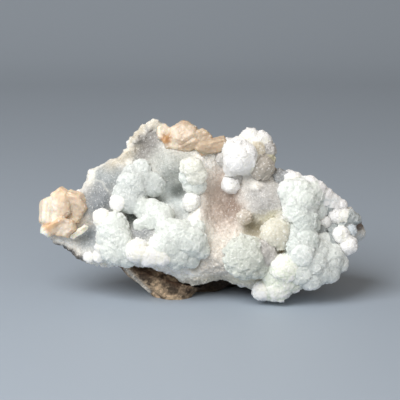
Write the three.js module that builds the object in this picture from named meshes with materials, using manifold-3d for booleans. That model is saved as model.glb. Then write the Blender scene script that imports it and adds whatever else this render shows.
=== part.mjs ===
// A hand-sized apophyllite cluster: pale mint and snow-white balls grown on a sugary druse crust,
// with peach stilbite at its left end and along its top, all on a lump of brown basalt.
//
// Millimetres, +Z up, seen from -Y. The crust's face leans back, so most of it is laid out in face
// coordinates: across (to the right), up (along the leaning face) and proud (out of the face).

import * as THREE from "three";
import { mergeVertices } from "three/addons/utils/BufferGeometryUtils.js";
import Module from "manifold-3d";

const wasm = await Module();
wasm.setup();

// Driving dimensions.
const LEAN = THREE.MathUtils.degToRad(14);
const SEAM = 0.3; // gap between neighbouring pieces
const MIDDLE = [0, 34]; // across and up of the face's middle
const INNER_OVAL = [62, 25]; // half-width and half-height that the outline calms down to inside
const MID_DEPTH = 15.8; // how far behind the face's foot line the middle of the depth lies
const MID_ACROSS = -0.9; // where the middle of the width lies across the face
const RIM_PROUD = -1.5; // the crust's edge line
const CRUST_BACK = -4.5; // the crust's flat back
const CRUST_TILT = 0.045; // how much prouder the crust gets for each millimetre down its face
const CRUST_LEVEL = 2.6; // the crust's proudness halfway up
const MATRIX_REACH = 0.955; // the rock's outline as a share of the crust's
const SLAB_EDGE = 4; // thickness of the rock's outer ledge
const SLAB_STEP = 3.5; // how much thicker the ledge is inside its rim
const CRUST_COLUMNS = 42; // steps round the crust's face
const CRUST_RINGS = 9;
const ROCK_COLUMNS = 36;
const BLOCK = 90; // half-size of the blocks that breaks cut from

// The crust's edge, walked clockwise from its left tip, as [across, up].
const CRUST_EDGE = [
  [-64.4, 29.2], [-61.4, 34.8], [-56.6, 40.2], [-50.4, 44.4], [-47.6, 48.6], [-46.4, 52.6],
  [-40.4, 55.8], [-34.2, 58.4], [-30.2, 62.4], [-27.2, 68.4], [-23.6, 71.4], [-20.6, 73.2],
  [-17.2, 70.4], [-12.6, 67.0], [-6.2, 66.4], [-1.4, 63.6], [4.6, 60.6], [9.6, 60.8],
  [16.6, 63.0], [23.4, 62.0], [26.4, 58.4], [28.2, 52.2], [34.6, 50.4], [40.6, 48.4],
  [47.4, 45.4], [52.6, 41.2], [56.6, 37.8], [61.4, 35.4], [65.0, 30.6], [65.4, 26.0],
  [61.0, 22.6], [57.0, 18.4], [53.8, 13.8], [50.2, 10.8], [45.0, 9.0], [38.6, 7.4],
  [34.6, 5.0], [29.0, 3.6], [22.6, 4.6], [16.6, 6.0], [12.2, 7.6], [7.4, 9.0],
  [1.8, 7.8], [-3.4, 6.2], [-7.4, 7.4], [-12.6, 9.8], [-18.2, 12.2], [-25.4, 13.8],
  [-33.4, 14.0], [-41.4, 14.6], [-47.8, 16.2], [-52.6, 19.2], [-57.2, 22.4], [-62.0, 25.4],
];

// Swells and hollows of the crust: where, how wide each way, and how proud (hollows are negative).
const RELIEF = [
  { name: "lower left swell", at: [-22, 24], wide: [24, 12], proud: 6.5 },
  { name: "lower middle swell", at: [14, 15], wide: [12, 9], proud: 5 },
  { name: "lower right swell", at: [38, 20], wide: [17, 14], proud: 7 },
  { name: "upper right swell", at: [39, 41], wide: [12, 8], proud: 4 },
  { name: "upper grey dome", at: [-38.6, 50.2], wide: [8, 6], proud: 4.5 },
  { name: "lower grey dome", at: [-42, 40], wide: [8, 7], proud: 5.5 },
  { name: "pale dome", at: [-12.6, 55], wide: [9, 8], proud: 6 },
  { name: "pale ridge", at: [-1.5, 40], wide: [4.5, 17], proud: 5 },
  { name: "lilac mound", at: [23.6, 41.6], wide: [9, 8.5], proud: 6 },
  { name: "lilac foot", at: [8, 20], wide: [7, 7], proud: 3.5 },
  { name: "crown seat", at: [18, 57], wide: [9, 7], proud: 3 },
  { name: "rose basin", at: [9.5, 41], wide: [8, 14], proud: -4.5 },
  { name: "slate hollow", at: [-11, 43], wide: [9, 6.5], proud: -6.5 },
  { name: "olive hollow", at: [20, 29], wide: [6.5, 5], proud: -4.5 },
  { name: "grey pocket", at: [-46, 25.5], wide: [6, 6], proud: -4 },
  { name: "peak hollow", at: [-22, 60], wide: [6, 8], proud: -2.5 },
  { name: "right grey hollow", at: [48.5, 28], wide: [6, 8], proud: -4 },
  { name: "dark slot", at: [-29, 34], wide: [5, 3.5], proud: -3 },
];

// The rock's lumps, each bounded by flat breaks: a break's outward direction and its distance from
// the lump's middle. These are in face coordinates, behind the crust.
const ROCK_LUMPS = [
  {
    name: "core",
    middle: [2, 33, -16],
    breaks: [
      { out: [0, 0, 1], far: 11.2 },
      { out: [0.1, 0.1, -1], far: 13.5 },
      { out: [0.12, 0.74, -0.66], far: 17.5 },
      { out: [-0.62, 0.46, -0.6], far: 23 },
      { out: [0.66, 0.4, -0.6], far: 24 },
      { out: [-0.9, -0.1, -0.45], far: 37 },
      { out: [0.92, -0.05, -0.4], far: 40 },
      { out: [-0.5, -0.6, -0.6], far: 21 },
      { out: [0.55, -0.6, -0.55], far: 24 },
      { out: [0.1, -1, -0.25], far: 19 },
      { out: [-0.75, 0.65, 0], far: 33 },
      { out: [0.7, 0.7, -0.1], far: 33 },
      { out: [-0.1, 1, -0.1], far: 23 },
    ],
  },
  {
    name: "left shelf",
    middle: [-34, 34, -10],
    breaks: [
      { out: [0, 0, 1], far: 5.2 },
      { out: [-0.3, 0.1, -1], far: 5 },
      { out: [-0.8, 0.55, -0.3], far: 14 },
      { out: [-0.85, -0.45, -0.4], far: 15 },
      { out: [0.1, 1, -0.4], far: 15 },
      { out: [0.1, -0.9, -0.5], far: 13.5 },
      { out: [1, 0, 0], far: 20 },
    ],
  },
  {
    name: "right shelf",
    middle: [36, 26, -10],
    breaks: [
      { out: [0, 0, 1], far: 5.2 },
      { out: [0.25, 0.2, -1], far: 6.5 },
      { out: [0.9, 0.3, -0.35], far: 15.5 },
      { out: [0.35, 0.9, -0.4], far: 15.5 },
      { out: [0.7, -0.7, -0.3], far: 13.5 },
      { out: [-0.1, -0.95, -0.4], far: 15 },
      { out: [-1, 0, 0], far: 24 },
    ],
  },
  {
    name: "top spur",
    middle: [-20, 56, -8.5],
    breaks: [
      { out: [0, 0, 1], far: 3.7 },
      { out: [0, 0.35, -1], far: 4.5 },
      { out: [-0.85, 0.45, -0.2], far: 9 },
      { out: [0.75, 0.6, -0.3], far: 13 },
      { out: [0, 1, 0], far: 11 },
      { out: [0, -1, 0], far: 16 },
      { out: [1, 0, 0], far: 20 },
      { out: [-0.5, -0.8, -0.3], far: 12 },
    ],
  },
  {
    name: "keel",
    middle: [-14, 6, -7],
    breaks: [
      { out: [0, -0.06, 1], far: 5.4 },
      { out: [0.26, 0.966, 0], far: 2.7 },
      { out: [-0.655, -0.756, 0], far: 7.7 },
      { out: [0.71, -0.71, 0], far: 9.9 },
      { out: [1, 0.1, 0], far: 15 },
      { out: [-0.5, -0.5, 0.7], far: 7.4 },
      { out: [0.5, -0.45, 0.7], far: 8.6 },
      { out: [0, 0, -1], far: 12 },
    ],
  },
];

// The lumps that the rock stands on, upright in the part's own frame. The foot shows under the
// crust, and the heel is behind it.
const STANDING_LUMPS = [
  {
    name: "foot",
    middle: [-14, 14, 9],
    breaks: [
      { out: [-0.05, -0.93, -0.36], far: 7.2 },
      { out: [0, -0.97, 0.242], far: 6.5 },
      { out: [-0.45, -0.75, -0.48], far: 10.4 },
      { out: [0.5, -0.7, -0.5], far: 10.4 },
      { out: [-0.655, 0, -0.756], far: 10.2 },
      { out: [0.71, 0, -0.71], far: 11.3 },
      { out: [-0.95, 0.2, 0.3], far: 22 },
      { out: [1, 0.2, 0.1], far: 18 },
      { out: [0, 1, -0.1], far: 15 },
      { out: [0, 0, 1], far: 15 },
    ],
  },
  {
    name: "heel",
    middle: [4, 26, 13],
    breaks: [
      { out: [-0.85, 0.3, -0.45], far: 25 },
      { out: [-0.5, 0.8, -0.3], far: 19 },
      { out: [0.1, 0.92, -0.4], far: 14.5 },
      { out: [0.6, 0.7, -0.35], far: 20 },
      { out: [0.86, -0.05, -0.5], far: 23 },
      { out: [0.5, -0.5, -0.75], far: 16.5 },
      { out: [0.75, 0.3, 0.6], far: 24 },
      { out: [-0.2, 0.75, 0.65], far: 20 },
      { out: [-0.8, 0.2, 0.6], far: 22 },
      { out: [0, -0.2, 1], far: 18 },
      { out: [0, -1, 0.1], far: 12 },
    ],
  },
];

// Balls, as [across, up, radius, share of the radius that the middle stands proud of the crust].
const LEFT_BALLS = [
  [-25.0, 53.0, 4.0, 0.1], [-29.0, 46.4, 6.4, 0.0], [-20.6, 47.4, 6.0, 0.0],
  [-34.2, 39.6, 3.6, 0.2], [-29.6, 39.4, 5.2, 0.2], [-23.4, 38.0, 5.0, 0.35],
  [-17.2, 34.6, 5.6, 0.25], [-40.6, 34.0, 3.6, 0.4], [-36.2, 29.6, 6.4, 0.1],
  [-22.0, 30.6, 5.6, 0.1], [-15.0, 29.4, 5.4, 0.2], [-10.2, 26.8, 6.2, 0.25],
  [-4.4, 24.6, 6.0, 0.25], [-30.6, 25.6, 6.0, 0.1], [-17.6, 23.4, 6.0, 0.2],
  [-35.6, 20.8, 5.8, 0.15], [-26.4, 20.8, 5.2, 0.5], [-20.4, 18.0, 4.6, 0.55],
  [-9.4, 18.6, 6.4, 0.05],
];
const RIGHT_BALLS = [
  [38.6, 41.4, 8.8, 0.05], [36.6, 48.4, 4.2, 0.2], [43.0, 47.0, 4.6, 0.1], [48.8, 43.8, 4.4, 0.1],
  [53.0, 40.0, 3.6, 0.2], [40.4, 31.8, 6.2, 0.3], [40.8, 24.6, 5.2, 0.4],
  [38.8, 19.4, 5.2, 0.5], [34.6, 24.8, 4.8, 0.0], [43.8, 16.0, 6.4, 0.1], [50.4, 17.6, 6.0, 0.05],
  [49.6, 12.4, 4.8, 0.1], [42.4, 10.0, 5.2, 0.1], [32.4, 13.8, 6.2, 0.3], [29.8, 6.2, 6.0, 0.05],
  [23.4, 4.8, 4.2, 0.1], [16.2, 18.2, 8.4, 0.2], [23.4, 19.6, 5.6, 0.1],
];
const CROWN_BALLS = [
  [14.8, 57.6, 6.8, 0.5], [10.6, 61.6, 4.0, 0.3], [18.4, 65.4, 4.2, 0.2], [23.4, 64.8, 3.8, 0.2],
  [25.4, 61.0, 3.6, 0.2], [20.8, 60.8, 4.0, 0.4], [23.4, 53.8, 4.8, 0.4], [9.0, 57.2, 3.8, 0.2],
];
const END_BALLS = [
  [55.2, 33.6, 4.2, 0.2], [55.8, 26.6, 4.2, 0.4], [58.2, 22.4, 3.6, 0.3],
];
const UPPER_BALLS = [
  [-4.6, 53.2, 4.8, 0.1], [-4.4, 47.4, 4.2, 0.0],
];
const PEARLS = [
  { name: "apophyllite_pearl_upper", ball: [11.0, 47.2, 3.6, 0.5] },
  { name: "apophyllite_pearl_middle", ball: [-4.8, 40.0, 3.6, 0.6] },
  { name: "apophyllite_pearl_lower", ball: [16.4, 34.0, 3.0, 0.5] },
  { name: "apophyllite_pearl_right", ball: [48.2, 32.0, 2.8, 0.5] },
  { name: "apophyllite_cream_ball", ball: [28.8, 27.2, 6.2, 0.3] },
];
const BALL_DETAIL = 1;
const BALL_DEPTH = 0.88; // a ball's radius out of the face as a share of its radius along it

// Stilbite blades: middle as [across, up, proud], size as [width, length, thickness], and the turns
// of the blade in its plane, about its length and backwards, in degrees.
const LEFT_BLADES = [
  { at: [-61.0, 36.0, 3.0], size: [8.6, 14.5, 8], turn: [-4, 18, -6] },
  { at: [-56.6, 39.4, 4.0], size: [7.4, 13.5, 7], turn: [8, -12, 0] },
  { at: [-51.8, 38.4, 3.6], size: [11.0, 13.5, 6], turn: [28, -22, 8] },
  { at: [-59.6, 30.4, 4.6], size: [5.4, 12.5, 6], turn: [-62, 10, 6] },
  { at: [-55.4, 29.8, 4.4], size: [8.0, 9.5, 6], turn: [-38, -14, 10] },
];
const TOP_BLADES = [
  { at: [-14.8, 68.4, 0.2], size: [9.0, 12.5, 5], turn: [62, 8, -10] },
  { at: [-7.6, 67.6, 1.2], size: [10.5, 14.5, 6.5], turn: [-58, -10, -14] },
  { at: [-10.6, 63.8, 2.4], size: [7.5, 14.0, 5], turn: [84, 14, 6] },
  { at: [-1.4, 65.2, 1.6], size: [8.0, 13.0, 6], turn: [-70, 6, 0] },
  { at: [3.6, 62.8, 3.2], size: [6.2, 14.5, 5.4], turn: [-78, 16, 4] },
];
const SPLINTER = { at: [-49.6, 28.2, 5.0], size: [2.4, 8.6, 1.8], turn: [-57, 20, 4] };
const GREY_BLADES = [
  { at: [30.2, 50.0, 1.6], size: [5.6, 7.0, 6], turn: [20, 20, 0] },
  { at: [33.8, 49.8, 2.2], size: [5.4, 6.4, 6], turn: [-12, -16, 6] },
];

const COLOURS = {
  basalt: { color: 0x6a5a4a, roughness: 0.9 },
  druse: { color: 0xb5b3b1, roughness: 0.45 },
  mint: { color: 0xe4ebe4, roughness: 0.35 },
  snow: { color: 0xf7f8f5, roughness: 0.4 },
  cream: { color: 0xe0ddcc, roughness: 0.4 },
  peach: { color: 0xeccfae, roughness: 0.45 },
  smoke: { color: 0xa9abad, roughness: 0.35 },
};

// A point of the leaning face in the part's own frame.
function fromFace(across, up, proud) {
  return new THREE.Vector3(
    across - MID_ACROSS,
    up * Math.sin(LEAN) - proud * Math.cos(LEAN) - MID_DEPTH,
    up * Math.cos(LEAN) + proud * Math.sin(LEAN),
  );
}

// How proud the crust stands at a place on its face, before its edge is rounded off.
function crustProud(across, up) {
  const level = CRUST_LEVEL + CRUST_TILT * (MIDDLE[1] - up);
  return RELIEF.reduce((sum, { at, wide, proud }) => {
    const a = (across - at[0]) / wide[0];
    const u = (up - at[1]) / wide[1];
    return sum + proud * Math.exp(-(a * a + u * u));
  }, level);
}

// The edge's rounding: 1 over most of the face, falling to 0 at its edge.
function edgeRounding(share, power) {
  return Math.sqrt(Math.max(0, 1 - share ** power));
}

const edgeCurve = new THREE.CatmullRomCurve3(
  CRUST_EDGE.map(([across, up]) => new THREE.Vector3(across, up, 0)),
  true,
  "centripetal",
);

// A closed shell on the crust's outline, whose rings go from the outline to an oval as they close
// in on the middle, so that the outline's corners don't shear the inner rings. The surface is
// proudAt(across, up, share, side), with share running from 0 at the middle to 1 at the edge, and
// side 1 in front and -1 behind.
function shellOnFace({ columns, frontRings, backRings, reach, grow, proudAt }) {
  const edge = edgeCurve.getSpacedPoints(columns).slice(0, columns);
  const places = [];
  const indices = [];
  const place = (column, share, side) => {
    const turn = Math.PI * (1 - (2 * column) / columns);
    const oval = new THREE.Vector3(INNER_OVAL[0] * Math.cos(turn), INNER_OVAL[1] * Math.sin(turn), 0);
    const out = edge[column].clone().sub(new THREE.Vector3(...MIDDLE, 0));
    out.setLength(out.length() * reach + grow);
    out.lerp(oval, 1 - share * share).multiplyScalar(share);
    const [across, up] = [MIDDLE[0] + out.x, MIDDLE[1] + out.y];
    return fromFace(across, up, proudAt(across, up, share, side)).toArray();
  };
  const loops = [];
  for (let ring = 1; ring <= frontRings; ring++) loops.push([ring / frontRings, 1]);
  for (let ring = backRings; ring >= 1; ring--) loops.push([ring / backRings, -1]);
  places.push(place(0, 0, 1));
  for (const [share, side] of loops) {
    for (let column = 0; column < columns; column++) places.push(place(column, share, side));
  }
  places.push(place(0, 0, -1));
  const last = places.length - 1;
  const at = (loop, column) => 1 + loop * columns + (column % columns);
  for (let column = 0; column < columns; column++) {
    indices.push(0, at(0, column + 1), at(0, column));
    for (let loop = 0; loop < loops.length - 1; loop++) {
      indices.push(at(loop, column), at(loop + 1, column + 1), at(loop + 1, column));
      indices.push(at(loop, column), at(loop, column + 1), at(loop + 1, column + 1));
    }
    indices.push(last, at(loops.length - 1, column), at(loops.length - 1, column + 1));
  }
  return new THREE.BufferGeometry()
    .setAttribute("position", new THREE.Float32BufferAttribute(places.flat(), 3))
    .setIndex(indices);
}

// A closed geometry as a solid that can be joined and cut.
function solidOf(geometry) {
  const bare = geometry.clone();
  bare.deleteAttribute("normal");
  bare.deleteAttribute("uv");
  const merged = mergeVertices(bare, 1e-4);
  const solid = new wasm.Manifold(
    new wasm.Mesh({
      numProp: 3,
      vertProperties: new Float32Array(merged.getAttribute("position").array),
      triVerts: new Uint32Array(merged.index.array),
    }),
  );
  return solid;
}

const joined = (solids) => solids.reduce((all, solid) => all.add(solid));

// The largest single body of a solid, without crumbs that a cut left loose.
function mainBody(solid) {
  return solid.decompose().reduce((best, body) => (body.volume() > best.volume() ? body : best));
}

function crustSolid(grow) {
  const proudAt = (across, up, share, side) => {
    if (side < 0) return CRUST_BACK - grow;
    const surface = crustProud(across, up) + grow;
    return RIM_PROUD + (surface - RIM_PROUD) * edgeRounding(share, 7);
  };
  return solidOf(
    shellOnFace({ columns: CRUST_COLUMNS, frontRings: CRUST_RINGS, backRings: 1, reach: 1, grow, proudAt }),
  );
}

// The rock's outer ledge: a slab on the crust's outline, chipped in steps behind.
function rockSlab(grow) {
  const front = CRUST_BACK - SEAM + grow;
  const proudAt = (across, up, share, side) => {
    if (side > 0) return front;
    const chip = Math.sin(across * 0.31) * Math.cos(up * 0.23 + across * 0.11);
    return front - SLAB_EDGE - chip - (share < 1 ? SLAB_STEP : 0) - 2 * grow;
  };
  return solidOf(
    shellOnFace({ columns: ROCK_COLUMNS, frontRings: 1, backRings: 3, reach: MATRIX_REACH, grow, proudAt }),
  );
}

// A convex lump about the origin: a block with everything beyond each of its breaks cut away.
function brokenLump(breaks, grow) {
  const block = solidOf(new THREE.BoxGeometry(2 * BLOCK, 2 * BLOCK, 2 * BLOCK));
  return breaks.reduce((left, { out, far }) => {
    const beyond = new THREE.BoxGeometry(4 * BLOCK, 4 * BLOCK, 4 * BLOCK);
    const facing = new THREE.Quaternion().setFromUnitVectors(
      new THREE.Vector3(0, 0, 1),
      new THREE.Vector3(...out).normalize(),
    );
    return left.subtract(solidOf(beyond.translate(0, 0, 2 * BLOCK + far + grow).applyQuaternion(facing)));
  }, block);
}

const FACE_TURN = 90 - THREE.MathUtils.radToDeg(LEAN); // degrees about X that stand face coordinates up

function faceLump({ middle, breaks }, grow) {
  const place = fromFace(...middle);
  return brokenLump(breaks, grow).rotate([FACE_TURN, 0, 0]).translate(place.x, place.y, place.z);
}

function standingLump({ middle, breaks }, grow) {
  const [x, y, z] = middle;
  return brokenLump(breaks, grow).translate(x - MID_ACROSS, y - MID_DEPTH, z);
}

// Everything above the surface that the cluster rests on.
function aboveFloor() {
  const half = 200;
  return solidOf(new THREE.BoxGeometry(2 * half, 2 * half, 2 * half).translate(0, 0, half));
}

function matrixSolid(grow) {
  const lumps = ROCK_LUMPS.map((lump) => faceLump(lump, grow));
  const standing = STANDING_LUMPS.map((lump) => standingLump(lump, grow));
  return joined([rockSlab(grow), ...lumps, ...standing]);
}

function ballSolid([across, up, radius, proudShare], grow = 0) {
  const middle = fromFace(across, up, crustProud(across, up) + proudShare * radius);
  const turn = new THREE.Euler(across, up, radius);
  const geometry = new THREE.IcosahedronGeometry(radius + grow, BALL_DETAIL);
  geometry.applyMatrix4(new THREE.Matrix4().makeRotationFromEuler(turn));
  geometry.scale(1, BALL_DEPTH, 1).rotateX(-LEAN);
  return solidOf(geometry.translate(middle.x, middle.y, middle.z));
}

// A tabular crystal with a wedge at each end.
function bladeSolid({ at, size, turn }, grow = 0) {
  const [width, length, thickness] = size.map((side) => side + 2 * grow);
  const shoulder = length / 2 - width * 0.32;
  const outline = new THREE.Shape([
    new THREE.Vector2(-width / 2, -shoulder),
    new THREE.Vector2(-width * 0.1, -length / 2),
    new THREE.Vector2(width / 2, -shoulder),
    new THREE.Vector2(width / 2, shoulder),
    new THREE.Vector2(width * 0.12, length / 2),
    new THREE.Vector2(-width / 2, shoulder),
  ]);
  const bevel = Math.min(thickness, width) * 0.16;
  const geometry = new THREE.ExtrudeGeometry(outline, {
    depth: thickness - 2 * bevel,
    bevelThickness: bevel,
    bevelSize: bevel,
    bevelOffset: -bevel,
    bevelSegments: 1,
  }).translate(0, 0, bevel - thickness / 2);
  const [inPlane, aboutLength, back] = turn.map(THREE.MathUtils.degToRad);
  const basis = new THREE.Matrix4().makeRotationX(back - LEAN);
  basis.multiply(new THREE.Matrix4().makeRotationZ(inPlane));
  basis.multiply(new THREE.Matrix4().makeRotationY(aboutLength));
  const middle = fromFace(...at);
  const upright = new THREE.Matrix4().makeRotationX(Math.PI / 2);
  geometry.applyMatrix4(basis).applyMatrix4(upright);
  return solidOf(geometry.translate(middle.x, middle.y, middle.z));
}

function meshOf(name, solid, finish) {
  const made = mainBody(solid).getMesh();
  const positions = [];
  for (let i = 0; i < made.numVert; i++) {
    positions.push(...made.vertProperties.subarray(i * made.numProp, i * made.numProp + 3));
  }
  const geometry = new THREE.BufferGeometry()
    .setAttribute("position", new THREE.Float32BufferAttribute(positions, 3))
    .setIndex([...made.triVerts]);
  const mesh = new THREE.Mesh(geometry, new THREE.MeshStandardMaterial({ ...finish, flatShading: true }));
  mesh.name = name;
  return mesh;
}

const cluster = new THREE.Group();
cluster.name = "apophyllite_cluster";

const overFloor = aboveFloor();
const matrix = matrixSolid(0).intersect(overFloor);
const matrixRoom = matrixSolid(SEAM);
const crust = crustSolid(0).intersect(overFloor);
const crustRoom = crustSolid(SEAM);

cluster.add(meshOf("basalt_matrix", matrix, COLOURS.basalt));
cluster.add(meshOf("druse_crust", crust, COLOURS.druse));

// Each growth is cut by the room that what is already there takes, so that nothing overlaps.
let taken = joined([crustRoom, matrixRoom]);
function grow(name, finish, pieces, roomier) {
  const solid = joined(pieces).subtract(taken).intersect(overFloor);
  cluster.add(meshOf(name, solid, finish));
  taken = taken.add(joined(roomier));
}
const growBalls = (name, finish, balls) =>
  grow(name, finish, balls.map((ball) => ballSolid(ball)), balls.map((ball) => ballSolid(ball, SEAM)));
const growBlades = (name, finish, blades) =>
  grow(name, finish, blades.map((blade) => bladeSolid(blade)), blades.map((blade) => bladeSolid(blade, SEAM)));

growBalls("apophyllite_left", COLOURS.mint, LEFT_BALLS);
growBalls("apophyllite_right", COLOURS.mint, RIGHT_BALLS);
growBalls("apophyllite_crown", COLOURS.snow, CROWN_BALLS);
growBalls("apophyllite_end", COLOURS.snow, END_BALLS);
growBalls("apophyllite_upper", COLOURS.mint, UPPER_BALLS);
for (const { name, ball } of PEARLS) {
  growBalls(name, name.includes("cream") ? COLOURS.cream : COLOURS.snow, [ball]);
}
growBlades("stilbite_left", COLOURS.peach, LEFT_BLADES);
growBlades("stilbite_splinter", COLOURS.cream, [SPLINTER]);
growBlades("stilbite_top", COLOURS.peach, TOP_BLADES);
growBlades("smoky_blades", COLOURS.smoke, GREY_BLADES);

export default cluster;
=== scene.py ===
"""Dresses a hand-sized apophyllite cluster: druse crust, mint and snow balls, stilbite, basalt.

Each mass is skinned round simple closed shapes, raised by noise and coloured vertex by vertex.
Shapes are worked out in millimetres. Most of the cluster is laid out on its leaning face, in face
coordinates: across (to the right), up (along the face) and proud (out of the face).
"""

from __future__ import annotations

import logging
import math
from dataclasses import dataclass, replace
from enum import Enum
from itertools import cycle, product
from typing import Any, Callable, Iterator, Sequence

import bmesh
import bpy
import numpy as np
from mathutils import Matrix, Vector

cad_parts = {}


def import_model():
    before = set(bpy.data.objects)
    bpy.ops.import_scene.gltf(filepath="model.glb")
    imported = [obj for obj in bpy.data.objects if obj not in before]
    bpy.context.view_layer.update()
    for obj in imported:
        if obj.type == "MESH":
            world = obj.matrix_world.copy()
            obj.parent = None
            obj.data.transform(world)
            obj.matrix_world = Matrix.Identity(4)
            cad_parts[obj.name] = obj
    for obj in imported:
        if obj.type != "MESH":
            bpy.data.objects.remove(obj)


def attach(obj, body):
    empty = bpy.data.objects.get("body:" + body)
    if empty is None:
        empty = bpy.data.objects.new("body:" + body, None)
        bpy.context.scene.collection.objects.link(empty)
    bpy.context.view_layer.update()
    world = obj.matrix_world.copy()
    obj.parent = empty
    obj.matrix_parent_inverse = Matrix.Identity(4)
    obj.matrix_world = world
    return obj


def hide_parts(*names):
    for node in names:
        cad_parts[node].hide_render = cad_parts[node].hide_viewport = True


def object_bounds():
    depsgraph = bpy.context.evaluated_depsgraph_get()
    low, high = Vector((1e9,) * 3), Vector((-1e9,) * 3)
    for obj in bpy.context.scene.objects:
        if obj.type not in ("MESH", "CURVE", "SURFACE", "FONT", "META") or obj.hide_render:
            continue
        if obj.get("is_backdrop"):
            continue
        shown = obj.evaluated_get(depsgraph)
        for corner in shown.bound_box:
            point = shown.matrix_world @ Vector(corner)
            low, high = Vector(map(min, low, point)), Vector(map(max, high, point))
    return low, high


LOG = logging.getLogger("apophyllite_cluster")

# A closed shape: its vertices in millimetres, and its polygons as vertex numbers.
Shape = tuple[np.ndarray, Sequence[Sequence[int]]]

# Two numbers: a place on the face, widths or a range.
Pair = tuple[float, float]

# Three numbers: a place, a size, turns or a colour.
Spot = tuple[float, float, float]

# What gives a shell's proudness from across, up, the ring's share and whether it is in front.
Surface = Callable[[np.ndarray, np.ndarray, np.ndarray, np.ndarray], np.ndarray]

MM = 0.001
COARSE = 1.0
GOLDEN_ANGLE = math.pi * (3 - math.sqrt(5))
ROTATIONS = np.linalg.qr(np.random.default_rng(7).normal(size=(64, 3, 3)))[0]

# The leaning face: its lean, where it stands in the part's frame, and the crust's levels on it.
LEAN = math.radians(14)
MID_DEPTH = 15.8
MID_ACROSS = -0.9
FACE_MIDDLE = np.array([0.0, 34.0])
FACE_OUT = np.array([0.0, -math.cos(LEAN), math.sin(LEAN)])
INNER_OVAL = np.array([62.0, 25.0])
RIM_PROUD = -1.5
CRUST_BACK = -4.5
CRUST_TILT = 0.045
CRUST_LEVEL = 2.6

# The balls: how deep they are for their width, how square in profile, and how their tones meet,
# with painted light at each limb and painted shade in the seams.
BALL_DEPTH = 0.88
CUSHION = 3.0
CORE_POWER = 2.4
CORE_SHARE = 0.98
CORE_GRID = (14, 20)
BALL_EDGE = 40
BALL_TONE = 0.06
LIMB_PAINTED_LIGHT = 0.06
LIMB_START = 0.6
SEAM_WIDE = 0.06
SEAM_WOBBLE = 0.35

# The crystals of a ball: how many, how far they stray, and their half-widths, as shares.
CRYSTAL_CROWDING = 18
CRYSTAL_STRAY = 0.05
CRYSTAL_HALF = (0.38, 0.66)
CRYSTAL_STRETCH = 1.5

# The lobes of a large ball, as shares of its radius.
LOBES = 11
LOBE_CORE = 0.9
LOBE_REACH = 0.62
LOBE_RADIUS = 0.4
LOBE_SPREAD = (0.85, 1.1)

# A blade's outline and bevel, as shares of its width or thickness.
BLADE_SHOULDER = 0.32
BLADE_TIPS = (0.1, 0.12)
BLADE_BEVEL = 0.16

# The block that every lump of rock is broken from, in millimetres.
ROCK_BLOCK = 180

# The sides of a box whose corners are counted through x, y and z.
BOX_SIDES = np.array(
    [[0, 1, 3, 2], [4, 6, 7, 5], [0, 4, 5, 1], [2, 3, 7, 6], [0, 2, 6, 4], [1, 5, 7, 3]]
)

# The crust's edge, walked clockwise from its left tip, as [across, up].
CRUST_EDGE = [
    [-64.4, 29.2], [-61.4, 34.8], [-56.6, 40.2], [-50.4, 44.4], [-47.6, 48.6], [-46.4, 52.6],
    [-40.4, 55.8], [-34.2, 58.4], [-30.2, 62.4], [-27.2, 68.4], [-23.6, 71.4], [-20.6, 73.2],
    [-17.2, 70.4], [-12.6, 67.0], [-6.2, 66.4], [-1.4, 63.6], [4.6, 60.6], [9.6, 60.8],
    [16.6, 63.0], [23.4, 62.0], [26.4, 58.4], [28.2, 52.2], [34.6, 50.4], [40.6, 48.4],
    [47.4, 45.4], [52.6, 41.2], [56.6, 37.8], [61.4, 35.4], [65.0, 30.6], [65.4, 26.0],
    [61.0, 22.6], [57.0, 18.4], [53.8, 13.8], [50.2, 10.8], [45.0, 9.0], [38.6, 7.4],
    [34.6, 5.0], [29.0, 3.6], [22.6, 4.6], [16.6, 6.0], [12.2, 7.6], [7.4, 9.0],
    [1.8, 7.8], [-3.4, 6.2], [-7.4, 7.4], [-12.6, 9.8], [-18.2, 12.2], [-25.4, 13.8],
    [-33.4, 14.0], [-41.4, 14.6], [-47.8, 16.2], [-52.6, 19.2], [-57.2, 22.4], [-62.0, 25.4],
]


class Tint(Enum):
    """Colours that the minerals show in soft daylight, and one painted shade, as sRGB bytes."""

    SNOW = (255, 254, 244)
    FROST = (250, 254, 255)
    MINT = (229, 234, 230)
    MINT_WHITE = (238, 243, 231)
    MINT_GREY = (221, 226, 224)
    PALE_DOME = (190, 193, 188)
    BIG_PALE = (211, 217, 214)
    PALE = (206, 210, 203)
    CREAM = (216, 209, 193)
    CREAM_BALL = (214, 212, 199)
    WARM_WHITE = (230, 231, 223)
    CREAM_GREY = (206, 198, 187)
    GREY = (169, 175, 176)
    COOL_GREY = (137, 142, 146)
    POCKET = (168, 173, 175)
    SLATE = (222, 229, 230)
    SLATE_DEEP = (116, 122, 118)
    # Painted shade: the grey of the crown's right side, away from the light.
    CROWN_PAINTED_SHADE = (180, 174, 165)
    LAVENDER = (146, 143, 139)
    LILAC = (192, 190, 187)
    RIDGE = (255, 252, 245)
    ROSE = (207, 192, 181)
    ROSE_DEEP = (154, 135, 122)
    OLIVE = (160, 152, 130)
    OLIVE_PALE = (206, 202, 178)
    GOLD_PIT = (112, 92, 52)
    PEACH = (238, 214, 186)
    ORANGE = (224, 184, 138)
    ORANGE_DEEP = (184, 136, 84)
    STILBITE_CREAM = (246, 236, 220)
    TAN = (208, 192, 172)
    BLADE = (198, 178, 155)
    SMOKE = (190, 193, 196)
    ICE = (196, 204, 210)
    BASALT = (192, 168, 140)
    BASALT_DARK = (58, 48, 40)
    BASALT_PALE = (186, 168, 142)
    RUST = (84, 58, 40)
    VEIN = (214, 208, 198)

    def linear(self) -> np.ndarray:
        """Returns the colour as linear light, three numbers from 0 to 1."""
        srgb = np.array(self.value) / 255
        return np.where(srgb <= 0.04045, srgb / 12.92, ((srgb + 0.055) / 1.055) ** 2.4)


@dataclass(frozen=True)
class Swell:
    """A swell or hollow of the crust: a Gaussian hump, negative where it is a hollow."""

    name: str
    at: Pair
    wide: Pair
    proud: float


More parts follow.
